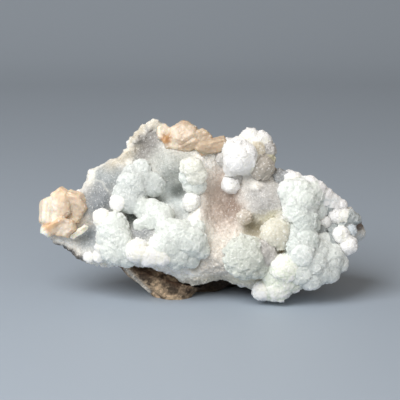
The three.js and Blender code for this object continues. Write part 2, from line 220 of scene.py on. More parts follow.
@dataclass(frozen=True)
class Patch:
    """A patch of colour on the leaning face, with a soft, wandering edge and its own roughness."""

    name: str
    at: Pair
    wide: Pair
    tint: Tint
    strength: float = 1.0
    turn: float = 0.0
    rough: float = 1.0


@dataclass(frozen=True)
class Ball:
    """One rounded spray of crystals, seated on the crust by a share of its radius."""

    across: float
    up: float
    radius: float
    seat: float
    tint: Tint = Tint.MINT


@dataclass(frozen=True)
class Habit:
    """How a ball's crystals grow: their width, and how unevenly they end and lean, as shares."""

    wide: float
    uneven: float
    lean: float


EVEN = Habit(1.9, 0.07, 0.2)
BLOCKY = Habit(2.6, 0.09, 0.2)
CRUMBLY = Habit(1.6, 0.08, 0.2)


@dataclass(frozen=True)
class Blade:
    """One tabular crystal: middle in face coordinates, width, length, thickness, and its turns."""

    at: Spot
    size: Spot
    turn: Spot


@dataclass(frozen=True)
class Lump:
    """A convex lump of rock: its middle and its flat breaks, as outward direction and distance."""

    middle: Spot
    breaks: tuple[tuple[Spot, float], ...]


@dataclass(frozen=True)
class Crop:
    """A crop of packed crystal tips: their spacing in millimetres, steepness and height."""

    size: float
    slope: float
    height: float = 1.0

    def grow(self, points: np.ndarray, salt: int) -> tuple[np.ndarray, np.ndarray]:
        """Returns the height at each point and a steady random share for each crystal."""
        tips, owner = crystals(points, self.size, salt, self.slope)
        return self.height * tips, owner


@dataclass(frozen=True)
class Wave:
    """Fractal noise: its largest size in millimetres, its height and its octaves."""

    size: float
    height: float = 1.0
    octaves: int = 4

    def at(self, points: np.ndarray, salt: int) -> np.ndarray:
        """Returns the height at each point."""
        return self.height * fractal(points, self.size, salt, self.octaves)


@dataclass(frozen=True)
class Label:
    """A piece's name, the CAD node that it replaces and its material slot."""

    name: str
    node: str
    slot: str


RELIEF = (
    Swell("lower left swell", (-22, 24), (24, 12), 6.5),
    Swell("lower middle swell", (14, 15), (12, 9), 5),
    Swell("lower right swell", (38, 20), (17, 14), 7),
    Swell("upper right swell", (39, 41), (12, 8), 4),
    Swell("upper grey dome", (-38.6, 50.2), (8, 6), 4.5),
    Swell("lower grey dome", (-42, 40), (8, 7), 5.5),
    Swell("pale dome", (-12.6, 55), (9, 8), 6),
    Swell("pale ridge", (-1.5, 40), (4.5, 17), 5),
    Swell("lilac mound", (23.6, 41.6), (9, 8.5), 6),
    Swell("lilac foot", (8, 20), (7, 7), 3.5),
    Swell("crown seat", (18, 57), (9, 7), 3),
    Swell("small knob", (20.6, 46.2), (2.2, 2.2), 2.6),
    Swell("rose basin", (9.5, 41), (8, 14), -4.5),
    Swell("slate hollow", (-11, 43), (9, 6.5), -6.5),
    Swell("olive hollow", (20, 29), (6.5, 5), -4.5),
    Swell("grey pocket", (-46, 25.5), (6, 6), -4),
    Swell("peak hollow", (-22, 60), (6, 8), -2.5),
    Swell("right grey hollow", (48.5, 28), (6, 8), -4),
    Swell("dark slot", (-29, 34), (5, 3.5), -4),
)


def from_face(across: np.ndarray, up: np.ndarray, proud: np.ndarray) -> np.ndarray:
    """Turns face coordinates into the part's own frame: lean back about X, then shift.

    Args:
        across: Millimetres to the right.
        up: Millimetres along the leaning face.
        proud: Millimetres out of the face.

    Returns:
        Points in millimetres, one row each.
    """
    y = up * math.sin(LEAN) - proud * math.cos(LEAN) - MID_DEPTH
    z = up * math.cos(LEAN) + proud * math.sin(LEAN)
    return np.stack(np.broadcast_arrays(across - MID_ACROSS, y, z), axis=-1)


def to_face(points: np.ndarray) -> np.ndarray:
    """Turns points of the part's frame back into face coordinates, the reverse of from_face.

    Args:
        points: Points in millimetres, one row each.

    Returns:
        Across, up and proud, one row each.
    """
    y = points[:, 1] + MID_DEPTH
    z = points[:, 2]
    up = y * math.sin(LEAN) + z * math.cos(LEAN)
    proud = z * math.sin(LEAN) - y * math.cos(LEAN)
    return np.stack([points[:, 0] + MID_ACROSS, up, proud], axis=-1)


def crust_proud(across: np.ndarray, up: np.ndarray) -> np.ndarray:
    """How proud the crust stands: a tilted level plus every swell's Gaussian hump.

    Args:
        across: Millimetres to the right.
        up: Millimetres along the leaning face.

    Returns:
        Millimetres out of the face.
    """
    level = CRUST_LEVEL + CRUST_TILT * (FACE_MIDDLE[1] - up)
    for swell in RELIEF:
        a = (across - swell.at[0]) / swell.wide[0]
        u = (up - swell.at[1]) / swell.wide[1]
        level = level + swell.proud * np.exp(-(a * a + u * u))
    return level


def edge_points(count: int) -> np.ndarray:
    """The crust's edge as a closed Catmull-Rom curve through CRUST_EDGE, evenly spaced.

    Args:
        count: How many points to return.

    Returns:
        Face coordinates across and up, one row for each point.
    """
    knots = np.array(CRUST_EDGE)
    before = np.roll(knots, 1, axis=0)
    after = np.roll(knots, -1, axis=0)
    beyond = np.roll(knots, -2, axis=0)
    t = np.linspace(0, 1, 12, endpoint=False)[None, :, None]
    p0, p1, p2, p3 = (k[:, None, :] for k in (before, knots, after, beyond))
    curve = 0.5 * (
        2 * p1
        + (p2 - p0) * t
        + (2 * p0 - 5 * p1 + 4 * p2 - p3) * t**2
        + (3 * p1 - p0 - 3 * p2 + p3) * t**3
    ).reshape(-1, 2)
    closed = np.vstack([curve, curve[:1]])
    run = np.concatenate([[0], np.cumsum(np.linalg.norm(np.diff(closed, axis=0), axis=1))])
    at = np.linspace(0, run[-1], count, endpoint=False)
    return np.stack([np.interp(at, run, closed[:, 0]), np.interp(at, run, closed[:, 1])], axis=-1)


def hashed(cell: np.ndarray, salt: int) -> np.ndarray:
    """Mixes the bits of a whole-number cell and a salt by odd multiples, shifts and exclusive ors.

    Args:
        cell: Whole numbers, one row of three for each cell.
        salt: Picks another mix.

    Returns:
        One unsigned 32-bit number for each row.
    """
    c = cell.astype(np.int64).astype(np.uint32)
    h = c[..., 0] * np.uint32(374761393) + c[..., 1] * np.uint32(668265263)
    h = h + c[..., 2] * np.uint32(2246822519) + np.uint32((salt * 3266489917) & 0xFFFFFFFF)
    h = (h ^ (h >> np.uint32(13))) * np.uint32(1274126177)
    h = (h ^ (h >> np.uint32(16))) * np.uint32(2654435761)
    return h ^ (h >> np.uint32(15))


def share(cell: np.ndarray, salt: int) -> np.ndarray:
    """Returns a steady number from 0 to 1 for each whole-number cell."""
    return (hashed(cell, salt) & np.uint32(0xFFFFFF)).astype(np.float64) / 0x1000000


def noise(points: np.ndarray, size: float, salt: int) -> np.ndarray:
    """Value noise: random corner values of a cubic lattice, blended smoothly.

    Args:
        points: Where to sample, in millimetres.
        size: The lattice's spacing in millimetres.
        salt: Picks other corner values.

    Returns:
        One number from -1 to 1 for each point.
    """
    p = points / size
    base = np.floor(p)
    f = p - base
    f = f * f * (3 - 2 * f)
    total = np.zeros(len(points))
    for corner in product((0, 1), repeat=3):
        step = np.array(corner)
        weight = np.prod(np.where(step == 1, f, 1 - f), axis=1)
        total += weight * share(base + step, salt)
    return 2 * total - 1


def fractal(points: np.ndarray, size: float, salt: int, octaves: int = 4) -> np.ndarray:
    """Sums octaves of noise, each half the size and half the height of the one before.

    Args:
        points: Where to sample, in millimetres.
        size: The size of the first octave in millimetres.
        salt: Picks other noise.
        octaves: How many there are.

    Returns:
        One number for each point, mostly from -1 to 1.
    """
    total = np.zeros(len(points))
    for octave in range(octaves):
        total += noise(points, size / 2**octave, salt + octave) / 2**octave
    return total


def seeds_around(
    points: np.ndarray, size: float, salt: int
) -> Iterator[tuple[np.ndarray, np.ndarray]]:
    """Walks the 27 cells round each point, each with one seed placed in it at random.

    Args:
        points: Where to sample, in millimetres.
        size: The spacing of the cells in millimetres.
        salt: Picks other seeds.

    Yields:
        The cells, and each point's way from the cell's seed, measured in cells.
    """
    p = points / size
    base = np.floor(p)
    for offset in product((-1, 0, 1), repeat=3):
        cell = base + np.array(offset)
        seed = cell + np.stack([share(cell, salt + k) for k in (1, 2, 3)], axis=-1)
        yield cell, p - seed


def turned(cell: np.ndarray, away: np.ndarray, salt: int) -> np.ndarray:
    """Turns each way from a seed by its cell's own steady rotation."""
    turn = ROTATIONS[hashed(cell, salt) % np.uint32(len(ROTATIONS))]
    return np.einsum("nij,nj->ni", turn, away)


def crystals(
    points: np.ndarray, size: float, salt: int, slope: float
) -> tuple[np.ndarray, np.ndarray]:
    """Packed crystal tips: the highest of the turned square pyramids seeded one to a cell.

    Args:
        points: Where to sample, in millimetres.
        size: The spacing of the crystals.
        salt: Picks another scatter of crystals.
        slope: How steeply a crystal falls away from its tip.

    Returns:
        The height in millimetres, about zero on average, and a steady random share per crystal.
    """
    tip_spread = 0.35
    best = np.full(len(points), -9.0)
    owner = np.zeros(len(points))
    for cell, away in seeds_around(points, size, salt):
        from_tip = np.abs(turned(cell, away, salt + 4)).max(axis=1)
        height = tip_spread * share(cell, salt + 5) - slope * from_tip
        better = height > best
        best = np.where(better, height, best)
        owner = np.where(better, share(cell, salt + 6), owner)
    average = 0.2 - 0.32 * slope
    return (best - average) * size, owner


def blocks(
    points: np.ndarray, size: float, salt: int, step: float, tilt: float
) -> tuple[np.ndarray, np.ndarray]:
    """Blocky crystal ends: each point takes the flat, tilted top of the seed whose cube is nearest.

    Args:
        points: Where to sample, in millimetres.
        size: The spacing of the crystals.
        salt: Picks another scatter of crystals.
        step: The most that two tops differ in height, in millimetres.
        tilt: How much a top slopes, as millimetres per millimetre.

    Returns:
        The height in millimetres, about zero on average, and a steady random share per crystal.
    """
    nearest = np.full(len(points), 9.0)
    height = np.zeros(len(points))
    owner = np.zeros(len(points))
    for cell, away in seeds_around(points, size, salt):
        local = turned(cell, away, salt + 4)
        reach = np.abs(local).max(axis=1)
        top = step * (share(cell, salt + 5) - 0.5) + tilt * size * local[:, 0]
        closer = reach < nearest
        nearest = np.where(closer, reach, nearest)
        height = np.where(closer, top, height)
        owner = np.where(closer, share(cell, salt + 6), owner)
    return height, owner


def gas_pits(points: np.ndarray, size: float, salt: int, filled: float) -> np.ndarray:
    """Round gas pits, at most one to a cell: how deep each point lies in its pit.

    Args:
        points: Where to sample, in millimetres.
        size: The spacing of the cells.
        salt: Picks another scatter of pits.
        filled: The share of the cells that hold a pit.

    Returns:
        The depth in millimetres, zero outside the pits.
    """
    smallest, spread = 0.12, 0.24
    depth = np.zeros(len(points))
    for cell, away in seeds_around(points, size, salt):
        radius = (smallest + spread * share(cell, salt + 4)) * (share(cell, salt + 5) < filled)
        depth = np.maximum(depth, radius - np.linalg.norm(away, axis=1))
    return depth * size


@dataclass
class Skin:
    """A mesh being shaped: vertices and normals in millimetres, and faces as vertex numbers."""

    vertices: np.ndarray
    normals: np.ndarray
    faces: np.ndarray

    def smoothed(self, values: np.ndarray, passes: int) -> np.ndarray:
        """Mixes a value of each vertex with the average of its neighbours', a few times over.

        Args:
            values: One row for each vertex.
            passes: How many times.

        Returns:
            The smoothed values.
        """
        own_share = 0.2
        ends = np.concatenate([self.faces[:, [k, (k + 1) % 4]] for k in range(4)])
        ends = np.concatenate([ends, ends[:, ::-1]])
        count = np.maximum(np.bincount(ends[:, 0], minlength=len(values)), 1)
        for _ in range(passes):
            total = [
                np.bincount(ends[:, 0], weights=values[ends[:, 1], k], minlength=len(values))
                for k in range(values.shape[1])
            ]
            around = np.stack(total, axis=-1) / count[:, None]
            values = own_share * values + (1 - own_share) * around
        return values

    def standing_out(self, passes: int) -> np.ndarray:
        """Returns how far each vertex stands out of its smoothed surroundings."""
        return ((self.vertices - self.smoothed(self.vertices, passes)) * self.normals).sum(axis=1)

    def calm(self, share_out: float, fine: int, broad: int) -> None:
        """Takes out a share of the ball-sized relief along the face's normal, but no fine detail.

        Args:
            share_out: The share that is taken out.
            fine: Smoothing passes below which detail stays.
            broad: Smoothing passes that give the mass's broad form.
        """
        fine_form = self.smoothed(self.vertices, fine)
        broad_form = self.smoothed(fine_form, broad)
        relief = (fine_form - broad_form) @ FACE_OUT
        self.vertices = self.vertices - share_out * relief[:, None] * FACE_OUT

    def push(self, height: np.ndarray) -> None:
        """Moves each vertex along its own normal by a height in millimetres."""
        self.vertices = self.vertices + self.normals * height[:, None]

    def face_coordinates(self) -> np.ndarray:
        """Returns across, up and proud of each vertex."""
        return to_face(self.vertices)


def scratch_object(shapes: Sequence[Shape]) -> bpy.types.Object:
    """Puts closed shapes side by side into one scratch mesh object, in millimetres.

    Args:
        shapes: The closed shapes.

    Returns:
        The object, linked to the scene.
    """
    mesh = bpy.data.meshes.new("scratch")
    vertices = np.concatenate([v for v, _ in shapes])
    starts = np.cumsum([0] + [len(v) for v, _ in shapes[:-1]])
    faces: list[list[int]] = []
    for start, (_, polygons) in zip(starts, shapes):
        faces += [[int(i) + int(start) for i in polygon] for polygon in polygons]
    mesh.from_pydata(vertices.tolist(), [], faces)
    scratch = bpy.data.objects.new("scratch", mesh)
    bpy.context.scene.collection.objects.link(scratch)
    return scratch


def one_skin(shapes: Sequence[Shape], voxel: float, fillet: float = 0.0) -> Skin:
    """Grows one even quad skin round all closed shapes that overlap.

    Args:
        shapes: The closed shapes.
        voxel: The spacing of the new quads in millimetres.
        fillet: How far, in millimetres, the creases between shapes are smoothed out.

    Returns:
        The skin with its smooth normals.
    """
    scratch = scratch_object(shapes)
    remesh = scratch.modifiers.new("Skin", "REMESH")
    remesh.mode = "VOXEL"
    remesh.voxel_size = voxel * COARSE
    if fillet > 0:
        melt = scratch.modifiers.new("Fillet", "SMOOTH")
        melt.factor = 0.5
        melt.iterations = max(1, round(2 * (fillet / (voxel * COARSE)) ** 2))
    done = scratch.evaluated_get(bpy.context.evaluated_depsgraph_get()).to_mesh()
    vertices = np.empty(len(done.vertices) * 3)
    normals = np.empty(len(done.vertices) * 3)
    corners = np.empty(len(done.loops), dtype=np.int32)
    done.vertices.foreach_get("co", vertices)
    done.vertex_normals.foreach_get("vector", normals)
    done.loops.foreach_get("vertex_index", corners)
    mesh = scratch.data
    bpy.data.objects.remove(scratch)
    bpy.data.meshes.remove(mesh)
    return Skin(vertices.reshape(-1, 3), normals.reshape(-1, 3), corners.reshape(-1, 4))


def finished_piece(
    label: Label, skin: Skin, colours: np.ndarray, finish: Finish, crease: float
) -> bpy.types.Object:
    """Makes the piece's object in metres, coloured, shaded and riding on the cluster's one body.

    Args:
        label: Its name, node and slot.
        skin: Its shape in millimetres.
        colours: Linear colour of each vertex.
        finish: Its surface.
        crease: Edges that turn by more than this many degrees stay crisp.

    Returns:
        The finished object.
    """
    material = finish.material()
    mesh = bpy.data.meshes.new(label.name)
    mesh.from_pydata((skin.vertices * MM).tolist(), [], skin.faces.tolist())
    attribute = mesh.color_attributes.new("Tint", "FLOAT_COLOR", "POINT")
    opaque = np.concatenate([np.clip(colours, 0, 1), np.ones((len(colours), 1))], axis=1)
    attribute.data.foreach_set("color", opaque.ravel())
    mesh.shade_smooth()
    mesh.set_sharp_from_angle(angle=math.radians(crease))
    mesh.materials.append(material)
    mesh.validate()
    piece = bpy.data.objects.new(label.name, mesh)
    bpy.context.scene.collection.objects.link(piece)
    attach(piece, "root")
    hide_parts(label.node)
    return piece


def ring_quads(loops: int, columns: int) -> np.ndarray:
    """Quads that join each closed loop of vertices to the next one.

    Args:
        loops: How many loops there are.
        columns: How many vertices each of them has.

    Returns:
        Four vertex numbers for each quad.
    """
    start, column = np.meshgrid(np.arange(loops - 1) * columns, np.arange(columns), indexing="ij")
    after = (column + 1) % columns
    corners = [start + column, start + after, start + columns + after, start + columns + column]
    return np.stack(corners, axis=-1).reshape(-1, 4)


def ring_shell(columns: int, rings: int, back_rings: int, reach: float, surface: Surface) -> Shape:
    """A closed shell on the crust's outline, whose rings calm down to an oval inside.

    With s from 0 in the middle to 1 at the edge, a ring is s times the sum of the oval times
    1 - s^2 and the edge times s^2.

    Args:
        columns: Steps round the outline.
        rings: Steps from the middle to the edge in front.
        back_rings: The same behind.
        reach: The outline's size as a share of the crust's.
        surface: Gives the proudness for across, up, s and whether the ring is in front.

    Returns:
        The closed shape, with a pole of repeated corners in front and behind.
    """
    edge = (edge_points(columns) - FACE_MIDDLE) * reach
    turn = math.pi * (1 - 2 * np.arange(columns) / columns)
    oval = INNER_OVAL * np.stack([np.cos(turn), np.sin(turn)], axis=-1)
    shares = np.concatenate([np.linspace(0, 1, rings + 1), np.linspace(1, 0, back_rings + 1)])
    front = np.arange(len(shares)) <= rings
    s = shares[:, None, None]
    flat = FACE_MIDDLE + s * (oval * (1 - s**2) + edge * s**2)
    across, up = flat[..., 0], flat[..., 1]
    proud = surface(across, up, shares[:, None], front[:, None])
    return from_face(across, up, proud).reshape(-1, 3), ring_quads(len(shares), columns)


def blocky_sphere(rows: int, columns: int, power: float) -> Shape:
    """A unit sphere grid pushed towards a cube: each direction divided by its own power-norm.

    Args:
        rows: Rings from pole to pole.
        columns: Steps round.
        power: 2 is a sphere, and higher is blockier.

    Returns:
        Vertices and quads.
    """
    polar = np.linspace(0, math.pi, rows)[:, None]
    around = np.linspace(0, 2 * math.pi, columns, endpoint=False)[None, :]
    level = np.sin(polar)
    axes = [level * np.cos(around), level * np.sin(around), np.cos(polar) * np.ones_like(around)]
    unit = np.stack(axes, axis=-1).reshape(-1, 3)
    blocky = unit / (np.abs(unit) ** power).sum(axis=1, keepdims=True) ** (1 / power)
    return blocky, ring_quads(rows, columns)[:, [0, 3, 2, 1]]


def ball_middle(ball: Ball) -> np.ndarray:
    """The ball's middle in face coordinates: on the crust, and out by its seat times its radius."""
    proud = crust_proud(np.array(ball.across), np.array(ball.up)) + ball.seat * ball.radius
    return np.array([ball.across, ball.up, float(proud)])


def lobed(balls: Sequence[Ball], above: float) -> tuple[Ball, ...]:
    """Covers the front of each ball of at least a radius with smaller lobes, on a smaller core.

    The lobes stand in a spiral by the golden angle, from the ball's limb to its front.

    Args:
        balls: The balls.
        above: The radius from which a ball is covered with lobes.

    Returns:
        The cores, the lobes and the smaller balls.
    """
    random = np.random.default_rng(77)
    grown = []
    for ball in balls:
        if ball.radius < above:
            grown.append(ball)
            continue
        grown.append(replace(ball, radius=LOBE_CORE * ball.radius, seat=ball.seat / LOBE_CORE))
        for step in range(LOBES):
            height = ((step + 0.5) / LOBES) ** 1.5
            level = LOBE_REACH * ball.radius * math.sqrt(1 - height**2)
            turn = step * GOLDEN_ANGLE + ball.across
            across = ball.across + level * math.cos(turn)
            up = ball.up + level * math.sin(turn)
            radius = LOBE_RADIUS * ball.radius * random.uniform(*LOBE_SPREAD)
            proud = ball_middle(ball)[2] + LOBE_REACH * BALL_DEPTH * ball.radius * height
            seat = (proud - float(crust_proud(np.array(across), np.array(up)))) / radius
            grown.append(Ball(across, up, radius, seat, ball.tint))
    return tuple(grown)


def crystal_boxes(
    middles: np.ndarray, outs: np.ndarray, halves: np.ndarray, random: np.random.Generator
) -> Shape:
    """Small box crystals, each standing along its own outward direction and spun at random.

    Args:
        middles: Where each box's middle is.
        outs: Which way each box stands.
        halves: Half-sizes of each box, the last one along its outward direction.
        random: Gives the spins.

    Returns:
        Vertices and quads of all boxes, in the coordinates of the middles.
    """
    z = outs / np.linalg.norm(outs, axis=1, keepdims=True)
    x = np.cross(random.normal(size=z.shape), z)
    x = x / np.linalg.norm(x, axis=1, keepdims=True)
    axes = np.stack([x, np.cross(z, x), z], axis=1)
    corners = np.array(list(product((-1, 1), repeat=3)))
    reach = np.einsum("nck,nkj->ncj", corners[None] * halves[:, None, :], axes)
    vertices = middles[:, None, :] + reach
    quads = BOX_SIDES[None] + len(corners) * np.arange(len(middles))[:, None, None]
    return vertices.reshape(-1, 3), quads.reshape(-1, 4)


def cushioned(local: np.ndarray) -> np.ndarray:
    """Squares a ball's profile: each row is scaled by its length over its power-norm.

    The power-norm is the root of level^CUSHION + depth^CUSHION, where level is the distance from
    the ball's own axis and depth the one along it.

    Args:
        local: Directions or places from the ball's middle, one row each.

    Returns:
        The same, pushed out where they are neither level nor straight ahead.
    """
    level = np.hypot(local[:, 0], local[:, 1])
    squarish = (level**CUSHION + np.abs(local[:, 2]) ** CUSHION) ** (1 / CUSHION)
    return local * (np.linalg.norm(local, axis=1) / squarish)[:, None]


def ball_shapes(ball: Ball, habit: Habit, salt: int) -> list[Shape]:
    """A ball and the crystals that radiate from it, flattened a little out of the face.

    The crystals are spread over the ball by the golden angle, close enough to cover it.

    Args:
        ball: The ball.
        habit: How its crystals grow.
        salt: Seeds their sizes, spins and leans.

    Returns:
        The core and the crystals, as closed shapes.
    """
    random = np.random.default_rng(int(abs(ball.across) * 10 + abs(ball.up) * 1000) + salt)
    count = round(CRYSTAL_CROWDING * (ball.radius / habit.wide) ** 2)
    height = 1 - (2 * np.arange(count) + 1) / count
    around = np.arange(count) * GOLDEN_ANGLE + random.uniform(0, 6)
    level = np.sqrt(1 - height**2)
    out = np.column_stack([level * np.cos(around), level * np.sin(around), height])
    out = out + random.normal(0, CRYSTAL_STRAY, out.shape)
    half = random.uniform(*CRYSTAL_HALF, (count, 3)) * habit.wide
    half[:, 2] *= CRYSTAL_STRETCH
    reach = ball.radius * (1 - habit.uneven * random.uniform(-1, 1, (count, 1)))
    leaning = out + random.normal(0, habit.lean, out.shape)
    boxes = crystal_boxes(cushioned(out) * (reach - half[:, 2:]), leaning, half, random)
    grid, quads = blocky_sphere(*CORE_GRID, CORE_POWER)
    core = cushioned(grid) * (CORE_SHARE - habit.uneven) * ball.radius
    placed = []
    for local, polygons in ((core, quads), boxes):
        place = ball_middle(ball) + local * np.array([1, 1, BALL_DEPTH])
        placed.append((from_face(*place.T), polygons))
    return placed


def broken_lump(lump: Lump, face: bool) -> Shape:
    """A convex lump: a block cut by each of its breaks in turn.

    Args:
        lump: Its middle and breaks.
        face: Whether those are in face coordinates or upright.

    Returns:
        The closed shape.
    """
    block = bmesh.new()
    bmesh.ops.create_cube(block, size=ROCK_BLOCK)
    for out, far in lump.breaks:
        normal = Vector(out).normalized()
        cut = bmesh.ops.bisect_plane(
            block,
            geom=block.verts[:] + block.edges[:] + block.faces[:],
            plane_co=normal * far,
            plane_no=normal,
            clear_outer=True,
        )
        rim = [item for item in cut["geom_cut"] if isinstance(item, bmesh.types.BMEdge)]
        if rim:
            bmesh.ops.contextual_create(block, geom=rim)
    block.verts.index_update()
    place = np.array([v.co[:] for v in block.verts]) + np.array(lump.middle)
    polygons = [[v.index for v in polygon.verts] for polygon in block.faces]
    block.free()
    if face:
        return from_face(*place.T), polygons
    return place - np.array([MID_ACROSS, MID_DEPTH, 0]), polygons


def blade_frame(blade: Blade) -> np.ndarray:
    """The blade's own directions: upright, leaned with the face, then turned in it and rolled.

    Args:
        blade: The blade.

    Returns:
        Its width, length and thickness directions as columns.
    """
    in_plane, about_length, back = (math.radians(angle) for angle in blade.turn)
    basis = Matrix.Rotation(math.pi / 2, 3, "X")
    basis = basis @ Matrix.Rotation(back - LEAN, 3, "X")
    basis = basis @ Matrix.Rotation(in_plane, 3, "Z")
    return np.array(basis @ Matrix.Rotation(about_length, 3, "Y"))


def blade_middle(blade: Blade) -> np.ndarray:
    """The blade's middle in the part's frame."""
    return from_face(*(np.array(value) for value in blade.at))


def blade_shape(blade: Blade) -> Shape:
    """A six-sided plate with a wedge at each end, its flat faces set in by a small bevel.

    Args:
        blade: The blade.

    Returns:
        The closed shape: four rings of six corners, from the back face to the front face.
    """
    width, length, thickness = blade.size
    side, end = width / 2, length / 2
    shoulder = end - width * BLADE_SHOULDER
    lower, upper = (width * tip for tip in BLADE_TIPS)
    outline = np.array(
        [
            [-side, -shoulder], [-lower, -end], [side, -shoulder],
            [side, shoulder], [upper, end], [-side, shoulder],
        ]
    )
    bevel = min(thickness, width) * BLADE_BEVEL
    inset = outline * (1 - 2 * bevel / np.array([width, length]))
    half = thickness / 2
    levels = [(inset, -half), (outline, bevel - half), (outline, half - bevel), (inset, half)]
    local = np.concatenate([np.column_stack([ring, np.full(6, z)]) for ring, z in levels])
    polygons = [list(range(5, -1, -1)), list(range(18, 24)), *ring_quads(4, 6).tolist()]
    return local @ blade_frame(blade).T + blade_middle(blade), polygons


def patch_weights(skin: Skin, patches: Sequence[Patch], salt: int) -> np.ndarray:
    """How much each patch counts at each vertex.

    The weight is exp(-r^4), with r the distance in patch widths after the place has been shifted
    by noise, so that the patch's edge wanders.

    Args:
        skin: The piece's skin.
        patches: The patches.
        salt: Seeds the wandering.

    Returns:
        One row for each patch, one column for each vertex.
    """
    wander = Wave(5.0, 1.3, 3)
    f = skin.face_coordinates()
    shift = np.stack([wander.at(skin.vertices, salt + k) for k in (0, 40)], axis=-1)
    weights = np.empty((len(patches), len(f)))
    for row, patch in enumerate(patches):
        away = f[:, :2] + shift - np.array(patch.at)
        c, s = math.cos(math.radians(patch.turn)), math.sin(math.radians(patch.turn))
        a = (away[:, 0] * c + away[:, 1] * s) / patch.wide[0]
        u = (away[:, 1] * c - away[:, 0] * s) / patch.wide[1]
        weights[row] = patch.strength * np.exp(-((a * a + u * u) ** 2))
    return weights


def blended(colours: np.ndarray, colour: np.ndarray, weight: np.ndarray) -> np.ndarray:
    """Moves each vertex's colour towards one linear colour, by the vertex's weight."""
    return colours + (colour - colours) * weight[:, None]


def uneven_tone(owner: np.ndarray) -> np.ndarray:
    """A tone from 0.85 to 1.15 for each crystal's or facet's own share, as a column."""
    return 0.85 + 0.3 * owner[:, None]


def face_tints(base: Tint, patches: Sequence[Patch], weights: np.ndarray) -> np.ndarray:
    """Colours the vertices: the base tint, then each patch blended in over the last.

    Args:
        base: The tint where no patch is.
        patches: The patches.
        weights: What patch_weights gives for them.

    Returns:
        Linear colour of each vertex.
    """
    colours = np.tile(base.linear(), (weights.shape[1], 1))
    for patch, weight in zip(patches, weights):
        colours = blended(colours, patch.tint.linear(), weight)
    return colours


def ball_tints(skin: Skin, balls: Sequence[Ball], salt: int, seam_shade: float) -> np.ndarray:
    """Colours each vertex by the balls nearest to it, with painted light at each limb and painted
    shade in the seams.

    Args:
        skin: The mass of balls.
        balls: Its balls.
        salt: Seeds each ball's own slight tone.
        seam_shade: How much painted shade darkens the seams between balls.

    Returns:
        Linear colour of each vertex.
    """
    wobble = Wave(1.8, SEAM_WOBBLE, 2)
    f = skin.face_coordinates()
    f += np.stack([wobble.at(skin.vertices, salt + k) for k in (10, 20, 30)], axis=-1)
    middles = np.array([ball_middle(ball) for ball in balls])
    radii = np.array([ball.radius for ball in balls])
    away = np.linalg.norm(f[:, None, :] - middles[None], axis=2) / radii
    weight = np.exp(-BALL_EDGE * (away - away.min(axis=1, keepdims=True)))
    tone = 1 + BALL_TONE * np.random.default_rng(salt).uniform(-1, 1, (len(balls), 1))
    tints = np.array([ball.tint.linear() for ball in balls]) * tone
    nearest = away.argmin(axis=1)
    off_axis = np.linalg.norm(f[:, :2] - middles[nearest, :2], axis=1) / radii[nearest]
    # Painted light: each ball is paler towards its limb.
    shading = 1 + LIMB_PAINTED_LIGHT * np.clip((off_axis - LIMB_START) / (1 - LIMB_START), 0, 1)
    # Painted shade: a thin dark line where two balls meet.
    if len(balls) > 1:
        closest = np.partition(away, 1, axis=1)
        seam = np.exp(-(((closest[:, 1] - closest[:, 0]) / SEAM_WIDE) ** 2))
        shading = shading * (1 - seam_shade * seam)
    return (weight @ tints) / weight.sum(axis=1, keepdims=True) * shading[:, None]


@dataclass(frozen=True)
class Wiring:
    """A material's node tree, with short ways to add a node and join it up."""

    tree: bpy.types.NodeTree

    def add(self, kind: str, inputs: dict[str | int, Any], **settings: Any) -> bpy.types.Node:
        """Adds a node, makes its settings, and links or sets its inputs.

        Args:
            kind: The node's type without its first word.
            inputs: A socket of another node to link, or a constant to set, for each input.
            settings: The node's own properties.

        Returns:
            The node.
        """
        node = self.tree.nodes.new("ShaderNode" + kind)
        for name, value in settings.items():
            setattr(node, name, value)
        self.join(node, inputs)
        return node

    def join(self, node: bpy.types.Node, inputs: dict[str | int, Any]) -> None:
        """Links or sets inputs of a node.

        Args:
            node: The node.
            inputs: A socket of another node to link, or a constant to set, for each input.
        """
        for name, value in inputs.items():
            if isinstance(value, bpy.types.NodeSocket):
                self.tree.links.new(value, node.inputs[name])
            else:
                node.inputs[name].default_value = value

    def spread(
        self, value: bpy.types.NodeSocket, middle: float, reach: float
    ) -> bpy.types.NodeSocket:
        """Maps 0 to 1 onto middle - reach to middle + reach."""
        ends = {"Value": value, "To Min": middle - reach, "To Max": middle + reach}
        return self.add("MapRange", ends).outputs["Result"]


